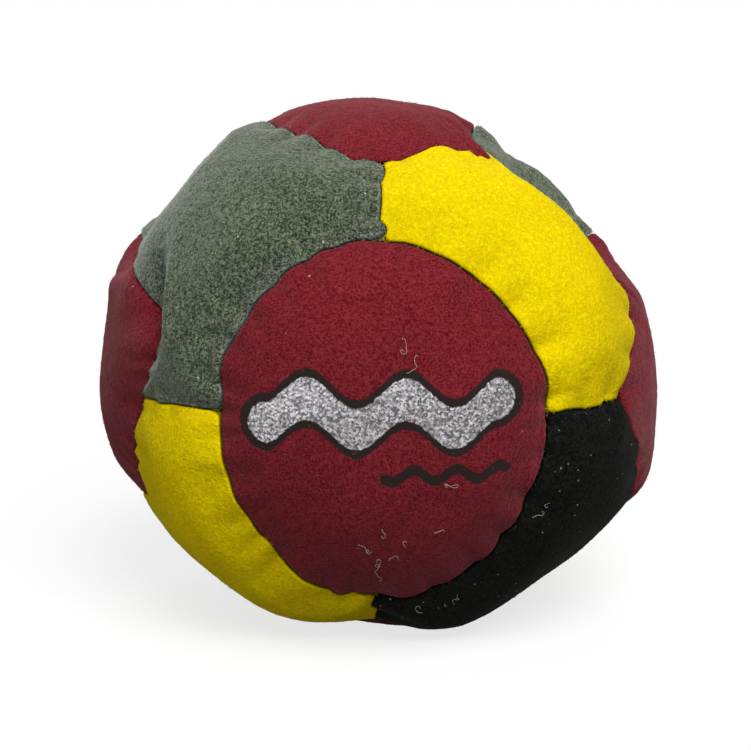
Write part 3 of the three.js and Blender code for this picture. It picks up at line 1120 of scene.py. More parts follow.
@dataclass(frozen=True)
class GlitterBand:
    """A wavy band of silver glitter with a black rim, and a thin black wave under it.

    Lengths are in millimetres.
    """

    middle: float = 0.2
    half_length: float = 9.4
    half_width: float = 1.75
    rim: float = 0.75
    height: float = 24.1
    wave: float = 1.25
    wave_length: float = 8.2
    under_middle: tuple[float, float] = (5.6, -5.3)
    under_half_length: float = 5.0
    under_wave: float = 0.5
    under_wave_length: float = 3.6
    under_edge: tuple[float, float] = (0.42, 0.58)
    inner_softness: float = 0.08
    outer_softness: float = 0.1
    fray: float = 0.35
    fray_scale: float = 2.6
    ink: float = 0.97
    glitter_size: float = 0.17
    glitter_contrast: float = 1.6
    glitter_metal: float = 0.75
    glitter_roughness: float = 0.38
    glitter_height: float = 0.5
    flattened_nap: float = 0.45
    black: Colour = (0.016, 0.015, 0.014)
    silver_dark: Colour = (0.10, 0.095, 0.10)
    silver_light: Colour = (0.66, 0.64, 0.66)

    def away(
        self,
        wiring: Wiring,
        spot: object,
        centre: tuple[float, float],
        half: float,
        wave: float,
        lap: float,
    ) -> bpy.types.NodeSocket:
        """Distance in millimetres from the middle line of a wavy stroke.

        Args:
            wiring: the tree.
            spot: object coordinates in millimetres.
            centre: the stroke's middle, across and up.
            half: half the stroke's length.
            wave: how high the wave is.
            lap: its wave length.

        Returns:
            The distance.
        """
        parts = wiring.add("ShaderNodeSeparateXYZ", {0: spot}).outputs
        across = wiring.math("SUBTRACT", parts[0], centre[0])
        up = wiring.math("SUBTRACT", parts[2], centre[1])
        held = wiring.math("MINIMUM", wiring.math("MAXIMUM", across, -half), half)
        turn = wiring.math("SINE", wiring.math("MULTIPLY", held, 2 * math.pi / lap))
        rise = wiring.math("SUBTRACT", up, wiring.math("MULTIPLY", turn, wave))
        past = wiring.math("SUBTRACT", across, held)
        squares = wiring.math("MULTIPLY_ADD", past, past, wiring.math("MULTIPLY", rise, rise))
        return wiring.math("SQRT", squares)

    def laid_over(
        self, wiring: Wiring, colour: object, height: object, shader: bpy.types.Node
    ) -> tuple[bpy.types.NodeSocket, bpy.types.NodeSocket]:
        """Lays the print over a cloth.

        Args:
            wiring: the material's tree.
            colour: the cloth's colour.
            height: the cloth's relief.
            shader: the shader whose gloss the glitter changes.

        Returns:
            The colour and relief with the print.
        """
        flat = wiring.spot()
        fray = wiring.centred(wiring.noise(flat, self.fray_scale, 2.0).outputs["Color"])
        frayed = wiring.vector("ADD", flat, wiring.scaled(fray, self.fray))
        middle = (self.middle, self.height)
        band = self.away(wiring, frayed, middle, self.half_length, self.wave, self.wave_length)
        right, down = self.under_middle
        middle = (right, self.height + down)
        stroke = (self.under_half_length, self.under_wave, self.under_wave_length)
        under = self.away(wiring, frayed, middle, *stroke)
        reach, soft = self.half_width, self.inner_softness
        inner = wiring.remap(band, reach - soft, reach + soft, 1.0, 0.0)
        reach, soft = self.half_width + self.rim, self.outer_softness
        outer = wiring.remap(band, reach - soft, reach + soft, 1.0, 0.0)
        line = wiring.remap(under, *self.under_edge, 1.0, 0.0)
        inked = wiring.math("MAXIMUM", outer, line)
        flakes = wiring.add("ShaderNodeTexVoronoi", {"Vector": flat, "Scale": 1 / self.glitter_size})
        draw = wiring.parts(flakes.outputs["Color"])
        bright = wiring.math("POWER", draw[0], self.glitter_contrast)
        silver = wiring.mix(bright, rgba(self.silver_dark), rgba(self.silver_light))
        overlay_share = wiring.math("MULTIPLY", inked, self.ink)
        with_black = wiring.mix(overlay_share, colour, rgba(self.black))
        with_silver = wiring.mix(inner, with_black, silver)
        wiring.feed(shader.inputs["Metallic"], wiring.math("MULTIPLY", inner, self.glitter_metal))
        roughness = wiring.remap(inner, 0.0, 1.0, NAP_ROUGHNESS, self.glitter_roughness)
        wiring.feed(shader.inputs["Roughness"], roughness)
        left = wiring.remap(inked, 0.0, 1.0, 1.0, self.flattened_nap)
        flattened = wiring.math("MULTIPLY", height, left)
        flakes_up = wiring.math("MULTIPLY", draw[1], inner)
        return with_silver, wiring.math("MULTIPLY_ADD", flakes_up, self.glitter_height, flattened)


class Suede(Enum):
    """The four suedes that the bag is sewn from."""

    MAROON = SuedeFinish(
        slot="maroon_suede",
        dark=(0.088, 0.0028, 0.0068),
        light=(0.212, 0.0205, 0.0284),
        fleck=0.17,
        fleck_strength=1.15,
        tint_strength=0.2,
        patch_strength=0.06,
        speck_colour=(0.55, 0.36, 0.34),
        speck_spacing=2.0,
        speck_size=0.09,
        speck_share=0.3,
        sheen=0.2,
        sheen_tint=(0.85, 0.5, 0.53),
        fibre_dark=(0.16, 0.012, 0.018),
        fibre_light=(0.42, 0.13, 0.13),
    )
    YELLOW = SuedeFinish(
        slot="yellow_suede",
        dark=(0.585, 0.415, 0.0004),
        light=(0.785, 0.635, 0.0008),
        fleck=0.2,
        fleck_strength=1.0,
        tint_strength=0.2,
        patch_strength=0.05,
        speck_colour=(0.16, 0.11, 0.012),
        speck_spacing=1.3,
        speck_size=0.085,
        speck_share=0.3,
        sheen=0.04,
        sheen_tint=(0.95, 0.9, 0.25),
        fibre_dark=(0.72, 0.48, 0.002),
        fibre_light=(0.98, 0.84, 0.03),
    )
    GREEN = SuedeFinish(
        slot="green_suede",
        dark=(0.013, 0.023, 0.013),
        light=(0.154, 0.182, 0.118),
        fleck=0.17,
        fleck_strength=1.3,
        tint_strength=0.8,
        patch_strength=0.11,
        speck_colour=(0.45, 0.48, 0.42),
        speck_spacing=1.2,
        speck_size=0.09,
        speck_share=0.35,
        sheen=0.55,
        sheen_tint=(0.8, 0.85, 0.78),
        lean=1.45,
        curl=0.5,
        # paler rim along the seams: frayed fibres and painted highlight
        rim_share=0.5,
        fuzz=8.0,
        fibre_dark=(0.03, 0.055, 0.036),
        fibre_light=(0.42, 0.47, 0.39),
    )
    BLACK = SuedeFinish(
        slot="black_suede",
        dark=(0.001, 0.001, 0.0009),
        light=(0.0125, 0.0125, 0.011),
        fleck=0.2,
        fleck_strength=1.0,
        tint_strength=0.2,
        patch_strength=0.06,
        speck_colour=(0.35, 0.35, 0.34),
        speck_spacing=0.95,
        speck_size=0.09,
        speck_share=0.6,
        sheen=0.02,
        sheen_tint=(0.7, 0.72, 0.7),
        fuzz=3.5,
        fibre_dark=(0.004, 0.004, 0.004),
        fibre_light=(0.09, 0.09, 0.086),
    )


@dataclass(frozen=True)
class Cut:
    """A plane square to a direction. A cut keeps the side that the direction points to."""

    direction: tuple[float, float, float]
    offset: float

    def apply(self, bm: bmesh.types.BMesh, keeps_one_side: bool) -> None:
        """Cuts a mesh.

        Args:
            bm: the mesh.
            keeps_one_side: clears the other side, or else only adds edges where the plane passes.
        """
        geometry = [*bm.verts, *bm.edges, *bm.faces]
        normal = Vector(self.direction)
        bmesh.ops.bisect_plane(
            bm,
            geom=geometry,
            dist=1e-6,
            plane_co=normal * self.offset,
            plane_no=normal,
            clear_inner=keeps_one_side,
        )


@dataclass
class Panel:
    """A panel of suede, cut from the ball's even layout and turned in along its rim."""

    node: str
    suede: Suede
    form: BallForm
    thickness: float = 0.8 * MM
    half_gap: float = 0.045 * MM
    allowance: float = 3.0 * MM
    rim_lines: tuple[float, ...] = (0.03 * MM, 0.1 * MM, 0.22 * MM, 0.4 * MM)
    seam_depth: float = 0.42 * MM
    roll_width: float = 0.32 * MM
    slope: float = 0.1 * MM
    slope_width: float = 5.0 * MM
    subdivisions: int = 6
    splits: int = 2
    print_band: GlitterBand | None = None

    def cuts(self, setback: float) -> list[Cut]:
        """The planes that trim an even ball to this panel, a setback in from its seams."""
        raise NotImplementedError

    def seam_distance(self, even: Array) -> Array:
        """How far each even direction is from the panel's seams."""
        raise NotImplementedError

    def bulge(self, distance: Array) -> Array:
        """How far the panel's middle stands over the ball's crown."""
        raise NotImplementedError

    def patch(self) -> bmesh.types.BMesh:
        """Cuts the panel's outer skin from an even ball of radius one.

        Returns:
            A mesh whose points' directions give their place.
        """
        bm = bmesh.new()
        bmesh.ops.create_icosphere(bm, subdivisions=self.subdivisions, radius=1.0)
        for cut in self.cuts(self.half_gap):
            cut.apply(bm, keeps_one_side=True)
        bmesh.ops.triangulate(bm, faces=bm.faces[:])
        for _ in range(self.splits):
            bmesh.ops.subdivide_edges(bm, edges=bm.edges[:], cuts=1, use_grid_fill=True)
        for vert in bm.verts:
            vert.co.normalize()
        for setback in self.rim_lines:
            for cut in self.cuts(self.half_gap + setback):
                cut.apply(bm, keeps_one_side=False)
        bmesh.ops.triangulate(bm, faces=bm.faces[:])
        return bm

    def turn_in(self, bm: bmesh.types.BMesh) -> None:
        """Adds the hem below the rim. From here on, points' lengths give their depth.

        Args:
            bm: the outer skin.
        """
        rim = [edge for edge in bm.edges if edge.is_boundary]
        turned_in = bmesh.ops.extrude_edge_only(bm, edges=rim)["geom"]
        hem = [item for item in turned_in if isinstance(item, bmesh.types.BMVert)]
        share = 1.0 - self.allowance / self.form.radius
        bmesh.ops.scale(bm, vec=(share, share, share), verts=hem)

    def roll(self, distance: Array) -> Array:
        """The slope towards the seam and the quarter-round fall into it.

        Args:
            distance: distances in from the seams.

        Returns:
            A height for each, below the crown.
        """
        share = np.clip(distance / self.roll_width, 0.0, 1.0)
        fall = (self.seam_depth - self.slope) * (1.0 - np.sqrt(1.0 - (1.0 - share) ** 2))
        return -fall - self.slope * (1.0 - smoothstep(distance / self.slope_width))

    def shaped(self, bm: bmesh.types.BMesh) -> None:
        """Moves the even patch to where the panel lies on the filled bag.

        Args:
            bm: the outer skin with its hem.
        """
        raw = np.array([vert.co for vert in bm.verts])
        lengths = np.linalg.norm(raw, axis=1)
        even = raw / lengths[:, None]
        distance = np.maximum(self.seam_distance(even) - self.half_gap, 0.0)
        hem_depth = (lengths - 1.0) * self.form.radius
        hem_depth[np.abs(hem_depth) < 0.5 * self.allowance] = 0.0
        lift = self.roll(distance) + self.bulge(distance) + hem_depth
        rim = bm.verts.layers.float.new("rim_distance")
        for vert, point, inset in zip(bm.verts, self.form.place(even, lift), distance / MM):
            vert.co = point
            vert[rim] = inset

    def build(self) -> bpy.types.Object:
        """Builds the panel, dresses it and puts it in the place of its node.

        Returns:
            The panel.
        """
        bm = self.patch()
        # The hem's and the inner wall's faces follow these, in an order that differs from run to run.
        skin_faces = len(bm.faces)
        self.turn_in(bm)
        self.shaped(bm)
        bmesh.ops.solidify(bm, geom=bm.faces[:], thickness=self.thickness)
        bmesh.ops.recalc_face_normals(bm, faces=bm.faces[:])
        on_skin = bm.faces.layers.int.new("on_skin")
        bm.faces.ensure_lookup_table()
        for face in bm.faces[:skin_faces]:
            face[on_skin] = 1
        panel = finished(f"panel_{self.node}", bm)
        finish = self.suede.value
        panel.data.materials.append(finish.material(f"suede_{self.node}", self.print_band))
        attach(panel, "root")
        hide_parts(self.node)
        return panel


@dataclass
class DiscPanel(Panel):
    """A round panel, whose rim dips under its neighbours."""

    side: Side = Side.FRONT
    seam_depth: float = 0.5 * MM
    roll_width: float = 0.35 * MM
    slope: float = 0.2 * MM

    def cuts(self, setback: float) -> list[Cut]:
        """One plane across the panel's axis."""
        return [Cut(self.side.value, math.cos(self.form.disc_angle - setback / self.form.radius))]

    def seam_distance(self, even: Array) -> Array:
        """Distance in from the round seam."""
        return (self.form.disc_angle - angles_to(even, self.side.axis)) * self.form.radius

    def bulge(self, distance: Array) -> Array:
        """A round panel lies on the ball's crown."""
        return np.zeros(len(distance))


@dataclass
class CornerPanel(Panel):
    """A three-armed panel between three round ones."""

    sides: tuple[Side, Side, Side] = (Side.FRONT, Side.TOP, Side.LEFT)
    blend: float = 1.0 * MM
    tip: float = 0.3 * MM
    swell_width: float = 6 * MM

    def tips(self) -> list[Array]:
        """For each of the six corners, the direction in from the corner.

        Returns:
            Six unit directions.
        """
        angle = self.form.disc_angle
        inward = []
        for near, far, across in permutations(side.axis for side in self.sides):
            inward.append(unit((across + math.cos(angle) * far - math.sin(angle) * near)[None])[0])
        return inward

    def cuts(self, setback: float) -> list[Cut]:
        """Planes across the arms' ends, across the round panels and across the corners.

        Args:
            setback: how far in from the seams.

        Returns:
            Twelve cuts.
        """
        reach = setback / self.form.radius
        arms = [Cut(side.value, math.sin(reach)) for side in self.sides]
        away = [tuple(-x for x in side.value) for side in self.sides]
        rounds = [Cut(direction, -math.cos(self.form.disc_angle + reach)) for direction in away]
        tips = [Cut(tuple(tip), self.tip / self.form.radius + reach) for tip in self.tips()]
        return arms + rounds + tips

    def seam_distance(self, even: Array) -> Array:
        """Distance in from the nearest seam, eased where two are as near.

        Args:
            even: unit directions of the even layout.

        Returns:
            A distance for each place.
        """
        lines = []
        for side in self.sides:
            lines.append((angles_to(even, side.axis) - self.form.disc_angle) * self.form.radius)
            lines.append(np.arcsin(np.clip(even @ side.axis, -1.0, 1.0)) * self.form.radius)
        rounds = np.min(lines[0::2], axis=0)
        arms = np.min(lines[1::2], axis=0)
        overlap = np.maximum(self.blend - np.abs(rounds - arms), 0.0) / self.blend
        eased = np.minimum(rounds, arms) - overlap**2 * self.blend / 4
        corners = np.min([even @ tip for tip in self.tips()], axis=0) * self.form.radius - self.tip
        return np.minimum(eased, corners)

    def bulge(self, distance: Array) -> Array:
        """A corner panel's arms stand over the crown."""
        return self.form.corner_swell * smoothstep(distance / self.swell_width)


def linked(name: str, data: bpy.types.ID) -> bpy.types.Object:
    """Makes an object of a mesh, lamp or camera and puts it in the scene.

    Args:
        name: the object's name.
        data: what it shows.

    Returns:
        The object, at the origin.
    """
    made = bpy.data.objects.new(name, data)
    bpy.context.scene.collection.objects.link(made)
    return made


def finished(name: str, bm: bmesh.types.BMesh, is_smooth: bool = True) -> bpy.types.Object:
    """Turns a mesh into an object in the scene.

    Args:
        name: the object's name.
        bm: its mesh, which is freed.
        is_smooth: shades faces smoothly.

    Returns:
        The object, at the origin.
    """
    mesh = bpy.data.meshes.new(name)
    bm.to_mesh(mesh)
    bm.free()
    mesh.polygons.foreach_set("use_smooth", [is_smooth] * len(mesh.polygons))
    return linked(name, mesh)


@cache
def fibre_material(suede: Suede) -> bpy.types.Material:
    """Makes the material of a suede's loose fibres, each fibre of one tone.

    Args:
        suede: the suede that the fibres stand out of.

    Returns:
        The material.
    """
    finish = suede.value
    values = {"Roughness": finish.fibre_roughness, "Specular IOR Level": finish.fibre_gloss}
    made, wiring, shader = new_material(f"fibre_{suede.name.lower()}", values)
    tone = wiring.add("ShaderNodeAttribute", attribute_name="tone").outputs["Fac"]
    colour = wiring.mix(tone, rgba(finish.fibre_dark), rgba(finish.fibre_light))
    wiring.feed(shader.inputs["Base Color"], colour)
    return made


@dataclass
class Fuzz:
    """Loose fibres that stand out of one panel's nap."""

    panel: bpy.types.Object
    suede: Suede
    centre: Array
    seed: int
    shortest: float = 0.3 * MM
    longest: float = 0.6 * MM
    thickness: float = 0.036 * MM
    sunk: float = 0.06 * MM
    floor_gap: float = 0.4 * MM
    least_outward: float = 0.3
    lean_range: tuple[float, float] = (0.05, 0.5)
    bend_spread: float = 0.4
    droop: float = 0.15
    middle_share: float = 0.4
    tone_shape: tuple[float, float] = (0.9, 2.2)

    def roots(self, rng: np.random.Generator) -> tuple[Array, Array]:
        """Picks where fibres grow.

        Only the outer skin's faces are drawn from, each as likely as the next: they come in the same
        order each run, and the hem's don't.

        Args:
            rng: the source of chance.

        Returns:
            Points on the panel's outer skin and the skin's directions there.
        """
        faces = self.panel.data.polygons
        centres, normals = np.empty(3 * len(faces)), np.empty(3 * len(faces))
        areas = np.empty(len(faces))
        faces.foreach_get("center", centres)
        faces.foreach_get("normal", normals)
        faces.foreach_get("area", areas)
        centres, normals = centres.reshape(-1, 3), normals.reshape(-1, 3)
        outward = np.einsum("ij,ij->i", unit(centres - self.centre), normals)
        on_skin = np.empty(len(faces), dtype=np.int32)
        self.panel.data.attributes["on_skin"].data.foreach_get("value", on_skin)
        is_open = (outward > self.least_outward) & (centres[:, 2] > self.floor_gap)
        usable = np.flatnonzero((on_skin == 1) & is_open)
        count = round(areas[usable].sum() / MM**2 * self.suede.value.fuzz)
        picks = rng.choice(usable, size=count)
        return centres[picks], normals[picks]

    def points(self, rng: np.random.Generator) -> Array:
        """The seven corners of every fibre: a root triangle, a middle triangle and a tip.

        Args:
            rng: the source of chance.

        Returns:
            Seven points for each fibre.
        """
        root, normal = self.roots(rng)
        count = len(root)
        side = unit(np.cross(normal, rng.normal(size=(count, 3))))
        lean = unit(side + normal * rng.uniform(*self.lean_range, (count, 1)))
        bent = unit(lean + rng.normal(0.0, self.bend_spread, (count, 3)) - self.droop * normal)
        half = rng.uniform(self.shortest, self.longest, (count, 1)) / 2
        start = root - normal * self.sunk
        middle = start + lean * half
        first = unit(np.cross(lean, normal))
        second = np.cross(lean, first)
        corners = []
        radii = (self.thickness / 2, self.thickness * self.middle_share)
        for at, radius in zip((start, middle), radii):
            for turn in (0.0, 2 * math.pi / 3, 4 * math.pi / 3):
                corners.append(at + radius * (math.cos(turn) * first + math.sin(turn) * second))
        corners.append(middle + bent * half)
        made = np.stack(corners, axis=1)
        made[..., 2] = np.maximum(made[..., 2], 0.0)
        return made

    def build(self) -> bpy.types.Object:
        """Builds the fibres as one object.

        Returns:
            The fuzz.
        """
        rng = np.random.default_rng(self.seed)
        points = self.points(rng)
        one = ((0, 2, 1), (0, 1, 4, 3), (1, 2, 5, 4), (2, 0, 3, 5), (3, 4, 6), (4, 5, 6), (5, 3, 6))
        faces = [[7 * n + corner for corner in face] for n in range(len(points)) for face in one]
        name = self.panel.name.replace("panel", "fuzz")
        mesh = bpy.data.meshes.new(name)
        mesh.from_pydata(points.reshape(-1, 3).tolist(), [], faces)
        tones = np.repeat(rng.beta(*self.tone_shape, len(points)), 7)
        mesh.attributes.new("tone", "FLOAT", "POINT").data.foreach_set("value", tones)
        mesh.materials.append(fibre_material(self.suede))
        fuzz = linked(name, mesh)
        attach(fuzz, "root")
        return fuzz


@dataclass(frozen=True)
class LintPatch:
    """A part of the ball, in degrees, that a number of lint threads cling to."""

    azimuth: float
    elevation: float
    spread: float
    count: int


@dataclass
class Lint:
    """Thin pale threads of lint that cling to the suede, as on any bag that has been played with."""

    form: BallForm
    patches: tuple[LintPatch, ...] = (
        LintPatch(3, -19, 7, 6),
        LintPatch(15, -36, 5, 5),
        LintPatch(12, -18, 8, 2),
        LintPatch(6, 14, 9, 2),
        LintPatch(40, -26, 11, 12),
        LintPatch(-35, 40, 12, 3),
        LintPatch(180, 0, 70, 14),
    )
    seed: int = 5
    thickness: float = 0.034 * MM
    step: float = 0.13 * MM
    lift: float = 0.1 * MM
    start_spread: float = 0.5
    step_range: tuple[int, int] = (6, 22)
    turn_kept: float = 0.75
    turn_spread: float = 0.42
    rise_pace: float = 0.5
    colour: Colour = (0.5, 0.44, 0.41)
    roughness: float = 0.8

    def path(self, rng: np.random.Generator, patch: LintPatch) -> Array:
        """A wandering path over the bag.

        Args:
            rng: the source of chance.
            patch: where it starts.

        Returns:
            Points a little above the suede.
        """
        start = rng.normal(0.0, self.start_spread, 2) * patch.spread
        at, right, up = facing(patch.azimuth + start[0], patch.elevation + start[1])
        heading, turn = rng.uniform(0.0, 2 * math.pi), 0.0
        spots = []
        for _ in range(rng.integers(*self.step_range)):
            spots.append(at)
            turn = self.turn_kept * turn + rng.normal(0.0, self.turn_spread)
            heading += turn
            towards = right * math.cos(heading) + up * math.sin(heading)
            at = unit((at + towards * self.step / self.form.radius)[None])[0]
        lifts = self.lift * (1.0 + np.abs(np.sin(np.arange(len(spots)) * self.rise_pace)))
        return self.form.place(np.array(spots), lifts)

    def tube(self, bm: bmesh.types.BMesh, path: Array) -> None:
        """Adds a four-sided closed tube along a path.

        Args:
            bm: the mesh that takes the tube.
            path: points along its middle.
        """
        along = unit(np.gradient(path, axis=0))
        out = unit(path - self.form.centre)
        across = unit(np.cross(along, out))
        out = np.cross(across, along)
        rings = []
        for point, first, second in zip(path, across, out):
            half = self.thickness / 2
            corners = (first, second, -first, -second)
            rings.append([bm.verts.new(point + corner * half) for corner in corners])
        for ring, after in zip(rings, rings[1:]):
            for i in range(4):
                j = (i + 1) % 4
                bm.faces.new((ring[i], ring[j], after[j], after[i]))
        bm.faces.new(rings[0][::-1])
        bm.faces.new(rings[-1])

    def build(self) -> bpy.types.Object:
        """Builds all the lint as one object.

        Returns:
            The lint.
        """
        rng = np.random.default_rng(self.seed)
        bm = bmesh.new()
        for patch in self.patches:
            for _ in range(patch.count):
                self.tube(bm, self.path(rng, patch))
        bmesh.ops.recalc_face_normals(bm, faces=bm.faces[:])
        lint = finished("lint_threads", bm)
        values = {"Base Color": rgba(self.colour), "Roughness": self.roughness}
        lint.data.materials.append(new_material("pale_lint", values)[0])
        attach(lint, "root")
        return lint


@dataclass
class Cover:
    """The bag's cover: its round panels and its corner panels."""

    form: BallForm
    corners: dict[str, Suede] = field(
        default_factory=lambda: {
            "front_top_left": Suede.GREEN,
            "front_top_right": Suede.YELLOW,
            "front_bottom_left": Suede.YELLOW,
            "front_bottom_right": Suede.BLACK,
            "back_top_left": Suede.YELLOW,
            "back_top_right": Suede.GREEN,
            "back_bottom_left": Suede.BLACK,
            "back_bottom_right": Suede.YELLOW,
        }
    )

    def panels(self) -> list[Panel]:
        """Every panel of the cover.

        Returns:
            The round panels, then the corner panels.
        """
        made: list[Panel] = []
        for side in Side:
            band = GlitterBand() if side is Side.FRONT else None
            node = f"{side.label}_disc"
            made.append(DiscPanel(node, Suede.MAROON, self.form, side=side, print_band=band))
        for corner, suede in self.corners.items():
            sides = tuple(Side[word.upper()] for word in corner.split("_"))
            made.append(CornerPanel(f"corner_{corner}", suede, self.form, sides=sides))
        return made

    def build(self) -> list[bpy.types.Object]:
        """Builds every panel with its fuzz, and the lint on them.

        Returns:
            The pieces.
        """
        made = []
        for number, panel in enumerate(self.panels()):
            made.append(panel.build())
            made.append(Fuzz(made[-1], panel.suede, self.form.centre, self.form.seed + number).build())
        return made + [Lint(self.form).build()]


@dataclass(frozen=True)
class ThreadFinish:
    """Dark waxed thread with two plies."""

    colour: Colour = (0.012, 0.010, 0.009)
    lit: Colour = (0.05, 0.042, 0.036)
    ply_scale: float = 7.0
    ply_range: tuple[float, float] = (0.35, 0.65)
    roughness: float = 0.55
    bump: float = 0.05
    bump_strength: float = 0.6

    def material(self) -> bpy.types.Material:
        """Makes the thread's material.

        Returns:
            The material.
        """
        made, wiring, shader = new_material("waxed_thread", {"Roughness": self.roughness})
        ply = wiring.noise(wiring.spot(), self.ply_scale, 2.0).outputs["Fac"]
        share = wiring.remap(ply, *self.ply_range, 0.0, 1.0)
        wiring.feed(shader.inputs["Base Color"], wiring.mix(share, rgba(self.colour), rgba(self.lit)))
        wiring.relief(shader, share, self.bump_strength, self.bump * MM)
        return made


@dataclass(frozen=True)
class SandFinish:
    """Dry sand with light and dark grains."""

    dark: Colour = (0.20, 0.13, 0.07)
    light: Colour = (0.62, 0.48, 0.30)
    grain: float = 0.35
    roughness: float = 0.85
    bump: float = 0.15
    bump_strength: float = 0.8

    def material(self) -> bpy.types.Material:
        """Makes the sand's material.

        Returns:
            The material.
        """
        made, wiring, shader = new_material("dry_sand", {"Roughness": self.roughness})
        inputs = {"Vector": wiring.spot(), "Scale": 1 / self.grain}
        grains = wiring.add("ShaderNodeTexVoronoi", inputs)
        draw = wiring.parts(grains.outputs["Color"])[0]
        wiring.feed(shader.inputs["Base Color"], wiring.mix(draw, rgba(self.dark), rgba(self.light)))
        wiring.relief(shader, grains.outputs["Distance"], self.bump_strength, self.bump * MM)
        return made


@dataclass
class Inside:
    """What the cover holds: the seams' threads and the sand."""

    nodes: dict[str, bpy.types.Object]
    thread: ThreadFinish = field(default_factory=ThreadFinish)
    sand: SandFinish = field(default_factory=SandFinish)
    roundness: float = 0.6

    def build(self) -> list[bpy.types.Object]:
        """Dresses the threads and the sand.

        Returns:
            The pieces.
        """
        thread, sand = self.thread.material(), self.sand.material()
        pieces = []
        for name, node in sorted(self.nodes.items()):
            if "thread" in name:
                pieces.append(self.rounded(node, thread, "thread"))
            elif name == "sand_fill":
                pieces.append(self.rounded(node, sand, "sand"))
        return pieces

    def rounded(
        self, node: bpy.types.Object, material: bpy.types.Material, slot: str
    ) -> bpy.types.Object:
        """Replaces a faceted soft node with a copy, made rounder where it is a thread.

        Args:
            node: the CAD node.
            material: the copy's material.
            slot: which kind of piece it is, thread or sand.

        Returns:
            The copy.
        """
        bm = bmesh.new()
        bm.from_mesh(node.data)
        bmesh.ops.remove_doubles(bm, verts=bm.verts[:], dist=1e-6)
        if slot == "thread":
            bmesh.ops.subdivide_edges(
                bm, edges=bm.edges[:], cuts=1, use_grid_fill=True, smooth=self.roundness
            )
        piece = finished(f"sewn_{node.name}" if slot == "thread" else "loose_sand", bm)
        piece.data.materials.clear()
        piece.data.materials.append(material)
        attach(piece, "root")
        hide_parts(node.name)
        return piece


@dataclass(frozen=True)
class Lamp:
    """A square soft lamp that points at the bag."""

    name: str
    place: tuple[float, float, float]
    size: float
    power: float


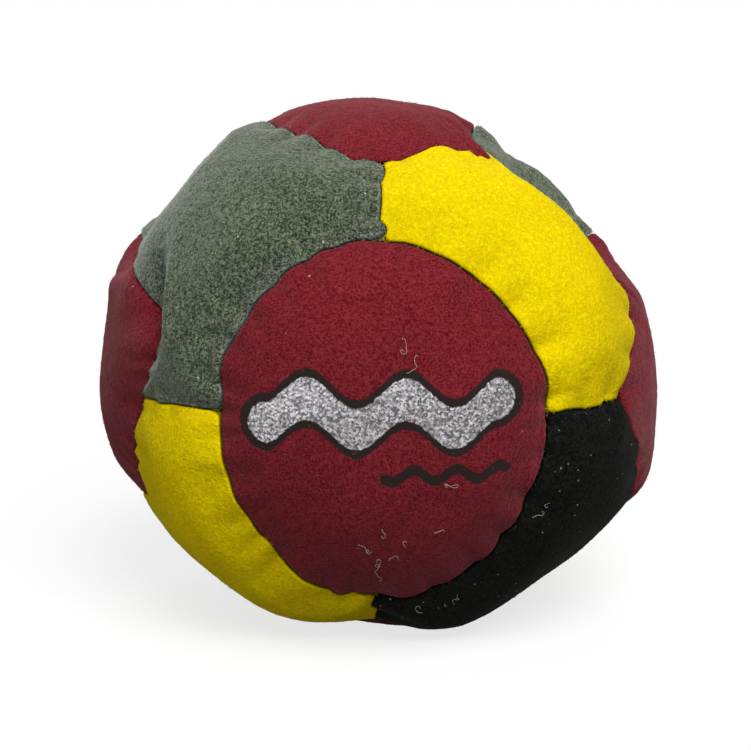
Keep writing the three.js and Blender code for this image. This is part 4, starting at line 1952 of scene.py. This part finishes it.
@dataclass
class Studio:
    """The floor, the lamps and the camera."""

    centre: Array
    elevation: float = 10.5
    distance: float = 157 * MM
    lens: float = 76.85
    image: tuple[int, int] = (751, 750)
    ball_pixel: tuple[float, float] = (379.0, 365.0)
    sensor: float = 36.0
    clip: float = 0.01
    ambient: float = 0.22
    floor_size: float = 3.0
    fade: tuple[float, float] = (0.03, 0.12)
    fade_from: float = 0.75
    pale: Colour = (0.95, 0.95, 0.95)
    dull: Colour = (0.2, 0.2, 0.2)
    lamps: tuple[Lamp, ...] = (
        Lamp("key_lamp", (0.11, -0.31, 0.41), 0.30, 3.15),
        Lamp("fill_lamp", (-0.35, -0.35, 0.16), 0.30, 0.4),
        Lamp("back_lamp", (-0.05, 0.40, 0.30), 0.40, 0.9),
    )

    def seen(self, wiring: Wiring) -> bpy.types.NodeSocket:
        """One where the camera sees a thing itself or its mirror image."""
        rays = wiring.add("ShaderNodeLightPath").outputs
        return wiring.math("MAXIMUM", rays["Is Camera Ray"], rays["Is Glossy Ray"])

    def floor(self) -> bpy.types.Object:
        """A plain pale floor that keeps the bag's shadow.

        Returns:
            The floor.
        """
        bm = bmesh.new()
        bmesh.ops.create_grid(bm, x_segments=1, y_segments=1, size=self.floor_size)
        floor = finished("floor", bm, is_smooth=False)
        made = bpy.data.materials.new("pale_floor")
        made.use_nodes = True
        tree = made.node_tree
        tree.nodes.clear()
        wiring = Wiring(tree)
        rays = wiring.add("ShaderNodeLightPath").outputs
        seen = wiring.math("MAXIMUM", self.seen(wiring), rays["Is Transmission Ray"])
        spot = wiring.add("ShaderNodeTexCoord").outputs["Object"]
        away = wiring.add("ShaderNodeVectorMath", {0: spot}, operation="LENGTH").outputs["Value"]
        share = wiring.remap(away, *self.fade, self.fade_from, 1.0)
        glow = wiring.add("ShaderNodeEmission", {"Color": (1, 1, 1, 1), "Strength": 1.0}).outputs[0]
        pale = wiring.add("ShaderNodeBsdfDiffuse", {"Color": rgba(self.pale)}).outputs[0]
        dull = wiring.add("ShaderNodeBsdfDiffuse", {"Color": rgba(self.dull)}).outputs[0]
        shown = wiring.add("ShaderNodeMixShader", {0: share, 1: pale, 2: glow}).outputs[0]
        mixed = wiring.add("ShaderNodeMixShader", {0: seen, 1: dull, 2: shown}).outputs[0]
        wiring.add("ShaderNodeOutputMaterial", {"Surface": mixed})
        floor.data.materials.append(made)
        return floor

    def world(self) -> None:
        """Soft light from all round, and white where the camera sees past the floor."""
        world = bpy.data.worlds.new("soft_room")
        world.use_nodes = True
        tree = world.node_tree
        tree.nodes.clear()
        wiring = Wiring(tree)
        strength = wiring.remap(self.seen(wiring), 0.0, 1.0, self.ambient, 1.0)
        inputs = {"Color": (1, 1, 1, 1), "Strength": strength}
        glow = wiring.add("ShaderNodeBackground", inputs).outputs[0]
        wiring.add("ShaderNodeOutputWorld", {"Surface": glow})
        bpy.context.scene.world = world

    def aimed(self, name: str, data: bpy.types.ID, place: Vector, towards: Vector) -> bpy.types.Object:
        """Puts a lamp or camera in its place and turns it.

        Args:
            name: the object's name.
            data: the lamp or camera.
            place: where it stands.
            towards: the direction that it looks in.

        Returns:
            The object.
        """
        made = linked(name, data)
        made.location = place
        made.rotation_mode = "QUATERNION"
        made.rotation_quaternion = towards.to_track_quat("-Z", "Y")
        return made

    def light(self, lamp: Lamp) -> None:
        """Adds a lamp.

        Args:
            lamp: its place, size and power.
        """
        light = bpy.data.lights.new(lamp.name, "AREA")
        light.size = lamp.size
        light.energy = lamp.power
        place = Vector(lamp.place)
        self.aimed(lamp.name, light, place, Vector(self.centre) - place)

    def camera(self) -> bpy.types.Object:
        """The camera where the photograph was taken from.

        Returns:
            The camera.
        """
        rise = math.radians(self.elevation)
        back = Vector((0.0, -math.cos(rise), math.sin(rise)))
        data = bpy.data.cameras.new("camera")
        data.lens = self.lens
        data.sensor_width = self.sensor
        data.clip_start = self.clip
        width, height = self.image
        data.shift_x = (width / 2 - self.ball_pixel[0]) / width
        data.shift_y = (self.ball_pixel[1] - height / 2) / width
        camera = self.aimed("camera", data, Vector(self.centre) + back * self.distance, -back)
        bpy.context.scene.camera = camera
        return camera

    def build(self) -> None:
        """Sets the stage."""
        self.camera()
        self.floor()
        self.world()
        for lamp in self.lamps:
            self.light(lamp)
        bpy.context.scene.view_settings.view_transform = "Standard"


def main() -> None:
    """Builds the bag piece by piece and reports each one."""
    logging.basicConfig(level=logging.INFO, format="%(name)s: %(message)s")
    form = BallForm()
    Studio(form.centre).build()
    for piece in Cover(form).build() + Inside(frame["nodes"]).build():
        LOG.info("%s: %d faces", piece.name, len(piece.data.polygons))


if __name__ == "__main__":
    main()
